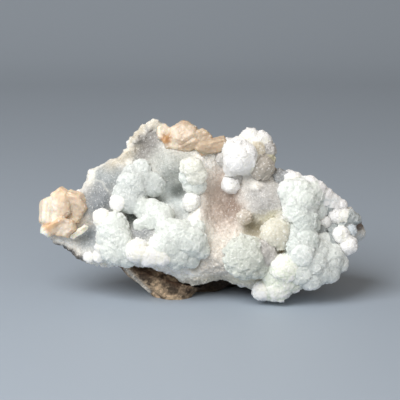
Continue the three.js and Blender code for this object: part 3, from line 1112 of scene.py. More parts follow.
@dataclass(frozen=True)
class Finish:
    """A mineral's surface: the vertex tint with painted glints, broken up by grains, with its gloss
    and depth.
    """

    name: str
    roughness: float = 0.42
    roughness_spread: float = 0.12
    depth: float = 0.5
    depth_colour: Spot = (1.0, 0.95, 0.9)
    depth_mm: float = 2.5
    grain_mm: float = 0.9
    grain_bump: float = 0.25
    grain_contrast: float = 0.05
    fine_mm: float = 0.25
    fine_bump: float = 0.1
    mottle_mm: float = 3.0
    mottle_contrast: float = 0.06
    facet_mm: float = 0.6
    facet_tilt: float = 0.35
    # Painted highlight: the share of facets painted white as glints, and how far towards white.
    painted_glint_share: float = 0.05
    painted_glint: float = 0.5
    transmission: float = 0.0
    gloss: float = 0.5
    refraction: float = 1.54

    def material(self) -> bpy.types.Material:
        """Builds the node material.

        The colour is tint x mottle x grains, with a share of facets painted white as glints. The
        normal is bumped by grains and by fine noise, and then tilted at random facet by facet.

        Returns:
            The material.
        """
        material = bpy.data.materials.new(self.name)
        material.use_nodes = True
        wiring = Wiring(material.node_tree)
        place = wiring.add("TexCoord", {}).outputs["Object"]
        grains = wiring.add("TexVoronoi", self.pattern(place, self.grain_mm), distance="CHEBYCHEV")
        facets = wiring.add("TexVoronoi", self.pattern(place, self.facet_mm))
        fine = wiring.add("TexNoise", self.pattern(place, self.fine_mm) | {"Detail": 2})
        mottle = wiring.add("TexNoise", self.pattern(place, self.mottle_mm) | {"Detail": 4})
        grain_lot = wiring.add("SeparateColor", {"Color": grains.outputs["Color"]})
        gloss = wiring.spread(grain_lot.outputs["Green"], self.roughness, self.roughness_spread)
        shader = material.node_tree.nodes["Principled BSDF"]
        wiring.join(shader, {
            "Base Color": self.colour(wiring, grain_lot, mottle, facets),
            "Normal": self.normal(wiring, grains, fine, facets),
            "Roughness": gloss,
            "Subsurface Weight": self.depth,
            "Subsurface Radius": self.depth_colour,
            "Subsurface Scale": self.depth_mm * MM,
            "Transmission Weight": self.transmission,
            "IOR": self.refraction,
            "Specular IOR Level": self.gloss,
        })
        return material

    @staticmethod
    def pattern(place: bpy.types.NodeSocket, size: float) -> dict[str | int, Any]:
        """The inputs of a pattern on the piece's own place, from its feature size in mm."""
        return {"Vector": place, "Scale": 1 / (size * MM)}

    def colour(
        self,
        wiring: Wiring,
        grain_lot: bpy.types.Node,
        mottle: bpy.types.Node,
        facets: bpy.types.Node,
    ) -> bpy.types.NodeSocket:
        """Wires the colour: tint x mottle x grains, and painted white glints on a share of facets.

        Args:
            wiring: The material's nodes.
            grain_lot: A random colour for each grain, split up.
            mottle: The mottling noise.
            facets: The facets' pattern.

        Returns:
            The colour's socket.
        """
        tint = wiring.add("Attribute", {}, attribute_name="Tint")
        grain_shade = wiring.spread(grain_lot.outputs["Red"], 1, self.grain_contrast)
        mottle_shade = wiring.spread(mottle.outputs["Fac"], 1, self.mottle_contrast)
        both = wiring.add("Math", {0: grain_shade, 1: mottle_shade}, operation="MULTIPLY")
        shade = {0: tint.outputs["Color"], "Scale": both.outputs[0]}
        shaded = wiring.add("VectorMath", shade, operation="SCALE")
        # Painted highlight: a share of facets is mixed towards white as glints.
        lot = wiring.add("SeparateColor", {"Color": facets.outputs["Color"]})
        painted_glint_mask = wiring.add(
            "Math", {0: lot.outputs["Blue"], 1: 1 - self.painted_glint_share}, operation="GREATER_THAN"
        )
        amount = wiring.add("Math", {0: painted_glint_mask.outputs[0], 1: self.painted_glint}, operation="MULTIPLY")
        bright = {"Factor": amount.outputs[0], "A": shaded.outputs["Vector"], "B": (1, 1, 1, 1)}
        return wiring.add("Mix", bright, data_type="RGBA").outputs["Result"]

    def normal(
        self, wiring: Wiring, grains: bpy.types.Node, fine: bpy.types.Node, facets: bpy.types.Node
    ) -> bpy.types.NodeSocket:
        """Wires the normal: two bumps, plus each facet's random colour less a half as its tilt.

        Args:
            wiring: The material's nodes.
            grains: The grains' pattern.
            fine: The fine noise.
            facets: The facets' pattern.

        Returns:
            The normal's socket.
        """
        grain_bump = wiring.add("Bump", {
            "Strength": self.grain_bump,
            "Distance": self.grain_mm * MM,
            "Height": grains.outputs["Distance"],
        })
        fine_bump = wiring.add("Bump", {
            "Strength": self.fine_bump,
            "Distance": self.fine_mm * MM,
            "Height": fine.outputs["Fac"],
            "Normal": grain_bump.outputs["Normal"],
        })
        centred = wiring.add(
            "VectorMath", {0: facets.outputs["Color"], 1: (0.5, 0.5, 0.5)}, operation="SUBTRACT"
        )
        lean = {0: centred.outputs["Vector"], "Scale": self.facet_tilt}
        tilt = wiring.add("VectorMath", lean, operation="SCALE")
        leaning = wiring.add(
            "VectorMath", {0: fine_bump.outputs["Normal"], 1: tilt.outputs["Vector"]}
        )
        normal = wiring.add("VectorMath", {0: leaning.outputs["Vector"]}, operation="NORMALIZE")
        return normal.outputs["Vector"]


@dataclass
class DruseCrust:
    """The sugary crust that everything grows on."""

    label: Label = Label("druse", "druse_crust", "druse")
    voxel: float = 0.45
    fillet: float = 0.3
    crease: float = 24
    columns: int = 220
    rings: int = 70
    back_rings: int = 6
    beads: int = 150
    bead_radii: Pair = (1.1, 2.3)
    bead_prouds: Pair = (-2.6, 0.2)
    bead_inset: float = 1.05
    bead_power: float = 2.6
    thin_above: float = 52
    thin_share: float = 0.4
    slabs: int = 190
    slab_above: float = 54
    slab_span: Pair = (-41, -17)
    slab_inward: Pair = (0.35, -0.94)
    slab_lean: float = 0.2
    slab_halves: tuple[Spot, Spot] = ((1.1, 1.1, 0.9), (2.3, 2.3, 1.7))
    slab_inset: Pair = (1.2, 2.6)
    slab_prouds: Pair = (-2.6, -0.2)
    undulation: Wave = Wave(7.0, 0.5)
    big_crystals: Crop = Crop(2.6, 0.75, 0.35)
    small_crystals: Crop = Crop(1.1, 0.85, 0.65)
    block_mm: float = 4.6
    block_step: float = 1.5
    block_tilt: float = 0.3
    crystal_tone: float = 0.13
    patches: tuple[Patch, ...] = (
        Patch("left tan", (-50, 31), (6, 5), Tint.TAN, 0.6),
        Patch("upper grey dome", (-38.6, 50.4), (8.5, 6.5), Tint.GREY, rough=0.3),
        Patch("dome's white rim", (-46, 50.6), (2.6, 4.8), Tint.SNOW, 0.9),
        Patch("lower grey dome", (-42, 40.6), (8.5, 7.5), Tint.COOL_GREY, rough=0.3),
        Patch("dome's top rim", (-43.4, 54.0), (3.6, 1.4), Tint.SNOW, 0.85, 35),
        Patch("white line between domes", (-40.4, 46.6), (4.4, 0.6), Tint.SNOW, 0.3, -37),
        Patch("grey pocket", (-45.4, 25), (6.5, 6.5), Tint.POCKET, rough=0.45),
        Patch("pocket's dark edge", (-41, 24.8), (1.6, 5), Tint.SLATE_DEEP, 0.5, rough=0.6),
        Patch("peak face", (-22.6, 62), (7, 9.5), Tint.LAVENDER, rough=0.5),
        Patch("cream broken edge", (-33.5, 57.6), (7.5, 3.6), Tint.CREAM, 0.9, 32, 0.5),
        Patch("peak's left edge", (-26.9, 68.0), (6.5, 1.3), Tint.CREAM, 0.9, 48, 0.5),
        Patch("peak tip", (-19.6, 71.2), (3.6, 2.2), Tint.CREAM, 0.8, 0, 0.5),
        Patch("dark notch", (-27.2, 55.6), (2.0, 2.8), Tint.SLATE_DEEP, 0.6, rough=0.5),
        Patch("pale dome", (-12.6, 54.8), (9.5, 8.5), Tint.PALE_DOME, rough=0.4),
        Patch("slate hollow", (-13.6, 42), (8.5, 5.5), Tint.SLATE, 0.95, -12, 0.5),
        Patch("slate pit", (-9.6, 43.6), (3.4, 3.4), Tint.SLATE_DEEP, 0.85, 0, 0.5),
        Patch("slate slit", (-19.6, 41.4), (4.0, 1.7), Tint.SLATE_DEEP, 0.9, -30, 0.5),
        Patch("low slate", (-9.2, 35.2), (4.2, 3.2), Tint.GREY, 0.8, 0, 0.5),
        Patch("grey druse patch", (-24.6, 28), (6.5, 4.2), Tint.COOL_GREY, 0.9, -8, 0.7),
        Patch("dark slot", (-29.4, 33.8), (4.2, 3.4), Tint.SLATE_DEEP, 1, 20, 0.5),
        Patch("ridge", (-1.2, 36), (4.6, 20), Tint.RIDGE, 0.9, 0, 0.7),
        Patch("rose basin", (8, 41), (8.5, 15), Tint.ROSE, rough=0.8),
        Patch("rose pit", (10.6, 38), (4.5, 5.5), Tint.ROSE_DEEP, 0.9, 0, 0.5),
        Patch("lilac mound", (23.8, 42), (8.5, 8.5), Tint.LILAC, rough=0.6),
        Patch("small knob", (20.6, 46.2), (2.6, 2.6), Tint.RIDGE, 0.7, rough=0.6),
        Patch("olive hollow", (19.8, 29), (5.5, 4.2), Tint.OLIVE, 0.95, 0, 0.4),
        Patch("olive bridge", (26, 34.4), (5, 2), Tint.OLIVE_PALE, 0.8, 20, 0.6),
        Patch("lilac foot", (24.2, 20), (5, 5), Tint.LILAC, 0.8),
        Patch("golden pit", (30.4, 21.0), (1.9, 1.5), Tint.GOLD_PIT, 0.9, 0, 0.5),
        Patch("lower middle", (6, 16.6), (9, 8.5), Tint.CREAM_GREY, 0.8, 0, 1.2),
        Patch("band under the big ball", (17, 9.6), (9, 2.6), Tint.OLIVE_PALE, 0.7),
        Patch("upper right snow", (46, 45.5), (13, 3.6), Tint.SNOW, 0.95, -28, 1.4),
        Patch("right grey", (49.4, 28), (7.5, 9), Tint.GREY, rough=1.2),
        Patch("far brown", (63.8, 31.4), (3.0, 2.8), Tint.RUST, 0.85, 0, 1.4),
        Patch("far ice", (63.6, 26.4), (2.6, 2.8), Tint.ICE, 0.8),
        # Painted shade: a dark rock-brown band under the left rim, the matrix's edge in shadow
        # painted on the crust.
        Patch("left underside", (-54.5, 19.6), (11, 2.1), Tint.BASALT_DARK, 0.9, -27),
        Patch("lower left rim", (-32, 15.4), (15, 3.6), Tint.SNOW, 0.9, 0, 1.4),
        Patch("rim by the foot", (-13.4, 11.4), (12, 4), Tint.SNOW, 0.9, -22, 1.4),
        Patch("rim by the arch", (0, 8), (10, 3), Tint.CREAM, 0.9, 5, 1.4),
        # Painted shade: a thin olive band of shade along the lower right edge of the left mass.
        Patch("olive edge", (-2.6, 16), (1.6, 4), Tint.OLIVE, 0.7, -25),
    )
    finish: Finish = Finish(
        "Druse", roughness=0.36, depth=0.7, depth_mm=2.0, grain_mm=0.7, grain_bump=0.3,
        grain_contrast=0.07, facet_mm=0.36, facet_tilt=0.5, painted_glint_share=0.07, painted_glint=0.35,
    )

    def surface(
        self, across: np.ndarray, up: np.ndarray, s: np.ndarray, front: np.ndarray
    ) -> np.ndarray:
        """The shell: rim plus (relief minus rim) times the root of 1 - s^7, and a flat back.

        Args:
            across: Millimetres to the right.
            up: Millimetres along the face.
            s: 0 in the middle to 1 at the edge.
            front: Whether the place is in front.

        Returns:
            Millimetres out of the face.
        """
        rounding = np.sqrt(np.clip(1 - s**7, 0, 1))
        relief = RIM_PROUD + (crust_proud(across, up) - RIM_PROUD) * rounding
        return np.where(front, relief, CRUST_BACK)

    def broken_edge(self) -> Shape:
        """Flat, angular slabs along the upper left edge, each leaning a little out of the face.

        Returns:
            All slabs as one shape.
        """
        random = np.random.default_rng(12)
        edge = edge_points(self.slabs)
        left, right = self.slab_span
        edge = edge[(edge[:, 1] > self.slab_above) & (edge[:, 0] < right) & (edge[:, 0] > left)]
        halves = random.uniform(*self.slab_halves, (len(edge), 3))
        inset = random.uniform(*self.slab_inset, (len(edge), 1))
        places = edge + np.array(self.slab_inward) * inset
        middles = np.column_stack([places, random.uniform(*self.slab_prouds, len(edge))])
        outs = np.array([0.0, 0.0, 1.0]) + random.normal(0, self.slab_lean, middles.shape)
        vertices, quads = crystal_boxes(middles, outs, halves, random)
        return from_face(*vertices.T), quads

    def rim_beads(self) -> list[Shape]:
        """Small beads of crystal all along the rim, seeded, each just inside the edge.

        Returns:
            One closed shape for each bead.
        """
        random = np.random.default_rng(5)
        radii = random.uniform(*self.bead_radii, self.beads)
        edge = edge_points(self.beads)
        thin = (edge[:, 1] > self.thin_above) & (edge[:, 0] < 0)
        radii = np.where(thin, self.thin_share * radii, radii)
        inward = FACE_MIDDLE - edge
        inward = inward / np.linalg.norm(inward, axis=1, keepdims=True)
        places = edge + inward * (radii * self.bead_inset)[:, None]
        middles = np.column_stack([places, random.uniform(*self.bead_prouds, self.beads)])
        grid, quads = blocky_sphere(9, 12, self.bead_power)
        beads = [middle + grid * radius for middle, radius in zip(middles, radii)]
        return [(from_face(*bead.T), quads) for bead in beads]

    def build(self) -> bpy.types.Object:
        """Grows the shell's skin, then raises undulations, crystals and broken blocks on it.

        Returns:
            The finished crust.
        """
        shell = ring_shell(self.columns, self.rings, self.back_rings, 1.0, self.surface)
        skin = one_skin([shell, *self.rim_beads(), self.broken_edge()], self.voxel, self.fillet)
        p = skin.vertices
        weights = patch_weights(skin, self.patches, 51)
        rough = np.ones(len(p))
        for patch, weight in zip(self.patches, weights):
            rough += (patch.rough - rough) * np.clip(weight, 0, 1)
        big, _ = self.big_crystals.grow(p, 11)
        small, shade = self.small_crystals.grow(p, 23)
        steps, _ = blocks(p, self.block_mm, 41, self.block_step, self.block_tilt)
        druse = (self.undulation.at(p, 31) + big + small) * rough
        skin.push(druse + steps * np.clip(rough - 1, 0, 1))
        shading = 1 + self.crystal_tone * (shade - 0.5) * rough
        colours = face_tints(Tint.RIDGE, self.patches, weights) * shading[:, None]
        return finished_piece(self.label, skin, colours, self.finish, self.crease)


@dataclass
class BallMass:
    """A mass of overlapping balls, grown into one body, or one ball on its own.

    Its relief is measured against its own form smoothed by a number of passes: fine and broad for
    the calming, crevice and edge for the painted shade in crevices and the painted highlight on
    edges.
    """

    label: Label
    balls: tuple[Ball, ...]
    finish: Finish
    voxel: float = 0.3
    calm: float = 0.0
    tone: float = 1.0
    # How much painted shade darkens the seams between balls.
    seam: float = 0.08
    habit: Habit = EVEN
    salt: int = 100
    plate_mm: float = 3.4
    plate_height: float = 0.12
    plate_tilt: float = 0.05
    fine_passes: int = 2
    broad_passes: int = 350
    # Painted shade darkens the crevices, and painted highlight lightens the edges.
    crevice_passes: int = 38
    crevice_mm: float = 0.7
    crevice_painted_shade: float = 0.14
    edge_passes: int = 4
    edge_mm: float = 0.22
    edge_painted_highlight: float = 0.08
    base_tone: float = 0.96
    plate_tone: float = 0.06
    lowest: float = 0.05
    crease: float = 28

    def build(self) -> bpy.types.Object:
        """Joins the balls under one skin, calms it, and breaks it up into plates.

        Returns:
            The finished mass.
        """
        shapes: list[Shape] = []
        for ball in self.balls:
            shapes += ball_shapes(ball, self.habit, self.salt)
        skin = one_skin(shapes, self.voxel)
        if self.calm > 0:
            skin.calm(self.calm, self.fine_passes, self.broad_passes)
        dip = np.clip(skin.standing_out(self.crevice_passes) / self.crevice_mm, -1, 0.4)
        plates, shade = blocks(
            skin.vertices, self.plate_mm, self.salt, self.plate_height, self.plate_tilt
        )
        skin.push(plates)
        skin.vertices[:, 2] = np.maximum(skin.vertices[:, 2], self.lowest)
        edge = np.clip(skin.standing_out(self.edge_passes) / self.edge_mm, -1, 1)
        # Painted light and shade: darker in crevices and lighter on edges, plus a random tone for
        # each plate.
        shading = self.base_tone + self.crevice_painted_shade * dip + self.edge_painted_highlight * edge
        shading += self.plate_tone * shade
        colours = ball_tints(skin, self.balls, self.salt, self.seam)
        colours *= self.tone * shading[:, None]
        return finished_piece(self.label, skin, colours, self.finish, self.crease)


@dataclass
class Sheaf:
    """A sheaf of tabular stilbite blades, fused where they cross."""

    label: Label
    blades: tuple[Blade, ...]
    patches: tuple[Patch, ...]
    finish: Finish
    base: Tint = Tint.PEACH
    voxel: float = 0.3
    salt: int = 300
    line_mm: float = 0.9
    line_height: float = 0.16
    line_stretch: float = 0.12
    line_offset: float = 7.3
    plates: Crop = Crop(3.0, 0.45, 0.4)
    undulation: Wave = Wave(3.0, 0.25)
    tone: float = 0.96
    plate_tone: float = 0.05
    line_tone: float = 0.03
    crease: float = 26

    def build(self) -> bpy.types.Object:
        """Skins the blades, and scores each along its length with fine growth lines.

        Returns:
            The finished sheaf.
        """
        skin = one_skin([blade_shape(blade) for blade in self.blades], self.voxel)
        p = skin.vertices
        frames = np.array([blade_frame(blade) for blade in self.blades])
        middles = np.array([blade_middle(blade) for blade in self.blades])
        sizes = np.array([blade.size for blade in self.blades])
        local = np.einsum("nbi,bij->nbj", p[:, None, :] - middles[None], frames)
        nearest = (np.abs(local) / sizes).max(axis=2).argmin(axis=1)
        own = local[np.arange(len(p)), nearest]
        stretched = own * np.array([1.0, self.line_stretch, 1.0])
        stretched += nearest[:, None] * self.line_offset
        lines = noise(stretched, self.line_mm, self.salt)
        plates, shade = self.plates.grow(p, self.salt + 10)
        skin.push(self.line_height * lines + plates + self.undulation.at(p, self.salt + 30))
        weights = patch_weights(skin, self.patches, self.salt + 60)
        colours = face_tints(self.base, self.patches, weights)
        shading = self.tone + self.plate_tone * shade + self.line_tone * lines
        colours *= shading[:, None]
        return finished_piece(self.label, skin, colours, self.finish, self.crease)


@dataclass
class BasaltMatrix:
    """The brown rock behind and under the crust: a thin ledge on its outline, and lumps."""

    label: Label = Label("basalt", "basalt_matrix", "basalt")
    voxel: float = 0.62
    crease: float = 30
    columns: int = 160
    rings: int = 4
    back_rings: int = 10
    reach: float = 0.965
    gap: float = 0.3
    ledge: float = 4.0
    ledge_step: float = 3.5
    facets: Crop = Crop(8.5, 0.42, 0.55)
    chips: Crop = Crop(2.8, 0.5, 0.35)
    grit: Wave = Wave(2.6, 0.2, 3)
    pit_mm: float = 5.5
    pit_share: float = 0.4
    pits_behind: float = -12
    fade: float = 8
    darker_from: float = -20
    dark_behind: float = 0.3
    dark_more: float = 0.55
    dark_mottle: Wave = Wave(3.0, 3.0)
    pale_mottle: Wave = Wave(5.0, 1.8)
    rust_mm: float = 2.4
    vein: tuple[Pair, Pair] = ((-31.4, 12.8), (-22.2, 3.6))
    vein_half: float = 0.9
    vein_back: float = -16
    # Painted shade under the arch: where it lies, how wide, and how far behind it fades.
    arch_shade_at: Pair = (12, 3)
    arch_shade_wide: Pair = (20, 9)
    arch_shade_back: float = -32
    rock_lumps: tuple[Lump, ...] = (
        Lump((2, 33, -16), (
            ((0, 0, 1), 11.2), ((0.1, 0.1, -1), 13.5), ((0.12, 0.74, -0.66), 17.5),
            ((-0.62, 0.46, -0.6), 23), ((0.66, 0.4, -0.6), 24), ((-0.9, -0.1, -0.45), 37),
            ((0.92, -0.05, -0.4), 40), ((-0.5, -0.6, -0.6), 21), ((0.55, -0.6, -0.55), 24),
            ((0.1, -1, -0.25), 19), ((-0.75, 0.65, 0), 33), ((0.7, 0.7, -0.1), 33),
            ((-0.1, 1, -0.1), 23))),
        Lump((-34, 34, -10), (
            ((0, 0, 1), 5.2), ((-0.3, 0.1, -1), 5), ((-0.8, 0.55, -0.3), 14),
            ((-0.85, -0.45, -0.4), 15), ((0.1, 1, -0.4), 15), ((0.1, -0.9, -0.5), 13.5),
            ((1, 0, 0), 20))),
        Lump((36, 26, -10), (
            ((0, 0, 1), 5.2), ((0.25, 0.2, -1), 6.5), ((0.9, 0.3, -0.35), 15.5),
            ((0.35, 0.9, -0.4), 15.5), ((0.7, -0.7, -0.3), 13.5), ((-0.1, -0.95, -0.4), 15),
            ((-1, 0, 0), 24))),
        Lump((-20, 56, -8.5), (
            ((0, 0, 1), 3.7), ((0, 0.35, -1), 4.5), ((-0.85, 0.45, -0.2), 9),
            ((0.75, 0.6, -0.3), 13), ((0, 1, 0), 11), ((0, -1, 0), 16), ((1, 0, 0), 20),
            ((-0.5, -0.8, -0.3), 12))),
        Lump((-14, 6, -7), (
            ((0, -0.06, 1), 5.4), ((0.26, 0.966, 0), 2.7), ((-0.655, -0.756, 0), 7.7),
            ((0.71, -0.71, 0), 9.9), ((1, 0.1, 0), 15), ((-0.5, -0.5, 0.7), 7.4),
            ((0.5, -0.45, 0.7), 8.6), ((0, 0, -1), 12))),
    )
    standing_lumps: tuple[Lump, ...] = (
        Lump((-14, 14, 9), (
            ((-0.05, -0.93, -0.36), 7.2), ((0, -0.97, 0.242), 6.5), ((-0.45, -0.75, -0.48), 10.4),
            ((0.5, -0.7, -0.5), 10.4), ((-0.655, 0, -0.756), 10.2), ((0.71, 0, -0.71), 11.3),
            ((-0.95, 0.2, 0.3), 22), ((1, 0.2, 0.1), 18), ((0, 1, -0.1), 15), ((0, 0, 1), 15))),
        Lump((4, 26, 13), (
            ((-0.85, 0.3, -0.45), 25), ((-0.5, 0.8, -0.3), 19), ((0.1, 0.92, -0.4), 14.5),
            ((0.6, 0.7, -0.35), 20), ((0.86, -0.05, -0.5), 23), ((0.5, -0.5, -0.75), 16.5),
            ((0.75, 0.3, 0.6), 24), ((-0.2, 0.75, 0.65), 20), ((-0.8, 0.2, 0.6), 22),
            ((0, -0.2, 1), 18), ((0, -1, 0.1), 12))),
    )
    finish: Finish = Finish(
        "Basalt", roughness=0.82, roughness_spread=0.1, depth=0.0, grain_mm=0.7, grain_bump=0.5,
        grain_contrast=0.4, fine_mm=0.3, fine_bump=0.5, mottle_mm=1.7, mottle_contrast=0.85,
        gloss=0.35, painted_glint_share=0.0,
    )

    def ledge_surface(
        self, across: np.ndarray, up: np.ndarray, s: np.ndarray, front: np.ndarray
    ) -> np.ndarray:
        """The ledge: a front plane, and behind it the ledge, a slow chip wave and an inner step.

        Args:
            across: Millimetres to the right.
            up: Millimetres along the face.
            s: 0 in the middle to 1 at the edge.
            front: Whether the place is in front.

        Returns:
            Millimetres out of the face.
        """
        plane = CRUST_BACK - self.gap
        chip = np.sin(across * 0.31) * np.cos(up * 0.23 + across * 0.11)
        behind = plane - self.ledge - chip - np.where(s < 1, self.ledge_step, 0)
        return np.where(front, plane, behind)

    def build(self) -> bpy.types.Object:
        """Joins ledge and lumps, breaks the surface into facets, and stands it flat at z = 0.

        Returns:
            The finished rock.
        """
        shapes = [
            ring_shell(self.columns, self.rings, self.back_rings, self.reach, self.ledge_surface)
        ]
        shapes += [broken_lump(lump, True) for lump in self.rock_lumps]
        shapes += [broken_lump(lump, False) for lump in self.standing_lumps]
        skin = one_skin(shapes, self.voxel)
        p = skin.vertices
        facets, chip = self.facets.grow(p, 500)
        chips, _ = self.chips.grow(p, 530)
        behind = np.clip((self.pits_behind - skin.face_coordinates()[:, 2]) / self.fade, 0, 1)
        pits = gas_pits(p, self.pit_mm, 545, self.pit_share) * behind
        skin.push(facets + chips + self.grit.at(p, 560) - pits)
        skin.vertices[:, 2] = np.maximum(skin.vertices[:, 2], 0.0)
        colours = self.colours(skin, pits) * uneven_tone(chip)
        return finished_piece(self.label, skin, colours, self.finish, self.crease)

    def colours(self, skin: Skin, pits: np.ndarray) -> np.ndarray:
        """Mottles the rock, most of all in front, with rust, a vein, painted shade under the arch
        and lined pits.

        Args:
            skin: The rock's skin.
            pits: How deep each vertex lies in a gas pit.

        Returns:
            Linear colour of each vertex.
        """
        p = skin.vertices
        f = skin.face_coordinates()
        front = self.dark_behind + self.dark_more * np.clip((f[:, 2] - self.darker_from) / 10, 0, 1)
        dark = np.clip(self.dark_mottle.at(p, 590) - 0.2, 0, 1)
        pale = np.clip(self.pale_mottle.at(p, 610) - 0.5, 0, 1)
        lined = np.clip(pits / 0.4, 0, 1) * (noise(p, 9.0, 650) > 0.1)
        colours = np.tile(Tint.BASALT.linear(), (len(p), 1))
        for colour, weight in (
            (Tint.BASALT_DARK.linear(), dark * front),
            (Tint.BASALT_PALE.linear(), pale * 0.8),
            (Tint.RUST.linear(), self.rust(p, f) * 0.85),
            (Tint.VEIN.linear(), self.vein_weight(f)),
            # Painted shade: the heel under the arch is darkened as if in shadow.
            (0.4 * Tint.BASALT_DARK.linear(), self.painted_arch_shade(f) * 0.95),
            (Tint.CREAM_GREY.linear(), lined * 0.7),
        ):
            colours = blended(colours, colour, weight)
        return colours

    def rust(self, p: np.ndarray, f: np.ndarray) -> np.ndarray:
        """A rusty band just below the crust's lower rim: a Gaussian across it, times noise.

        Args:
            p: The vertices in the part's frame.
            f: The same in face coordinates.

        Returns:
            A weight from 0 to 1 for each vertex.
        """
        rim = edge_points(400)
        rim = rim[rim[:, 1] < 20]
        rim = rim[rim[:, 0].argsort()]
        below = np.interp(f[:, 0], rim[:, 0], rim[:, 1]) - f[:, 1]
        band = np.exp(-(((below - 1) / self.rust_mm) ** 2))
        return np.clip(band * (0.8 + fractal(p, self.rust_mm, 630)), 0, 1)

    def vein_weight(self, f: np.ndarray) -> np.ndarray:
        """A pale vein between two places: a Gaussian of the distance from the line through them.

        Args:
            f: The vertices in face coordinates.

        Returns:
            A weight from 0 to 1 for each vertex.
        """
        start, end = np.array(self.vein)
        length = np.linalg.norm(end - start)
        along = (end - start) / length
        away = f[:, :2] - start
        off = np.abs(away[:, 0] * along[1] - away[:, 1] * along[0])
        run = away @ along
        inside = (run > -1) & (run < length + 1) & (f[:, 2] > self.vein_back)
        return np.where(inside, np.exp(-((off / self.vein_half) ** 2)), 0)

    def painted_arch_shade(self, f: np.ndarray) -> np.ndarray:
        """Painted shade on the heel under the arch: exp(-r^4) in widths of the shaded patch, fading
        out behind.

        Args:
            f: The vertices in face coordinates.

        Returns:
            A weight from 0 to 1 for each vertex.
        """
        r = (f[:, :2] - np.array(self.arch_shade_at)) / np.array(self.arch_shade_wide)
        fading = np.clip((f[:, 2] - self.arch_shade_back) / self.fade, 0, 1)
        return np.exp(-((r**2).sum(axis=1) ** 2)) * fading


@dataclass
class SmokyBlades:
    """Two short grey crystals behind the right-hand mass."""

    label: Label = Label("smoky", "smoky_blades", "smoky_crystal")
    voxel: float = 0.22
    crease: float = 24
    blades: tuple[Blade, ...] = (
        Blade((30.2, 50.0, 1.6), (5.6, 7.0, 6), (20, 20, 0)),
        Blade((33.8, 49.8, 2.2), (5.4, 6.4, 6), (-12, -16, 6)),
    )
    undulation: Wave = Wave(2.0, 0.06)
    zones: Crop = Crop(2.5, 0.5)
    finish: Finish = Finish(
        "Smoky crystal", roughness=0.25, depth=0.3, transmission=0.35, grain_bump=0.1
    )

    def build(self) -> bpy.types.Object:
        """Skins the two crystals closely, so that their flat faces stay flat.

        Returns:
            The finished crystals.
        """
        skin = one_skin([blade_shape(blade) for blade in self.blades], self.voxel)
        _, shade = self.zones.grow(skin.vertices, 700)
        skin.push(self.undulation.at(skin.vertices, 710))
        colours = Tint.SMOKE.linear() * uneven_tone(shade)
        return finished_piece(self.label, skin, colours, self.finish, self.crease)


LEFT_BALLS = (
    Ball(-25.0, 53.2, 3.8, 0.15, Tint.MINT_GREY), Ball(-29.2, 46.6, 6.2, 0.0, Tint.MINT_GREY),
    Ball(-20.8, 47.2, 5.2, 0.0, Tint.MINT_GREY), Ball(-33.0, 43.0, 3.6, 0.1, Tint.MINT_GREY),
    Ball(-34.2, 39.8, 3.4, 0.3, Tint.SNOW), Ball(-29.6, 40.0, 4.4, 0.25, Tint.MINT_GREY),
    Ball(-25.2, 38.2, 4.0, 0.35), Ball(-20.8, 37.2, 4.2, 0.35), Ball(-17.2, 34.4, 5.2, 0.25),
    Ball(-40.6, 34.0, 3.4, 0.5, Tint.SNOW), Ball(-36.0, 29.8, 6.0, 0.15),
    Ball(-33.2, 26.4, 4.4, 0.1), Ball(-21.4, 32.2, 3.6, 0.1),
    Ball(-14.4, 29.4, 4.6, 0.25), Ball(-10.4, 27.2, 5.8, 0.3),
    Ball(-4.6, 24.8, 5.8, 0.3), Ball(-16.6, 23.2, 4.9, 0.25), Ball(-35.4, 20.8, 5.4, 0.2),
    Ball(-39.6, 22.0, 3.4, 0.2, Tint.SNOW), Ball(-26.4, 20.8, 4.6, 0.55, Tint.SNOW),
    Ball(-21.4, 18.6, 4.0, 0.8, Tint.SNOW), Ball(-16.8, 18.4, 3.8, 0.8, Tint.SNOW),
    Ball(-10.4, 19.0, 5.4, 0.1), Ball(-5.4, 18.0, 4.2, 0.05), Ball(-30.4, 18.6, 4.4, 0.1),
    Ball(-41.6, 18.4, 2.6, 0.3, Tint.SNOW), Ball(-46.0, 18.0, 2.0, 0.3, Tint.SNOW),
    Ball(-33.4, 25.2, 5.0, 0.2), Ball(-38.4, 25.6, 4.4, 0.2), Ball(-13.4, 22.6, 5.0, 0.3),
    Ball(-7.4, 28.6, 4.0, 0.3), Ball(-23.0, 34.4, 2.8, 0.4), Ball(-25.4, 30.8, 2.5, 0.3),
    Ball(-29.4, 21.0, 4.4, 0.2), Ball(-24.8, 48.8, 4.4, 0.1, Tint.MINT_GREY),
    Ball(-26.4, 43.4, 3.8, 0.1, Tint.MINT_GREY), Ball(-28.4, 51.0, 4.0, 0.0, Tint.MINT_GREY),
    Ball(-2.6, 29.2, 3.4, 0.2), Ball(-1.4, 21.4, 3.8, 0.2), Ball(-14.4, 26.4, 4.6, 0.3),
)
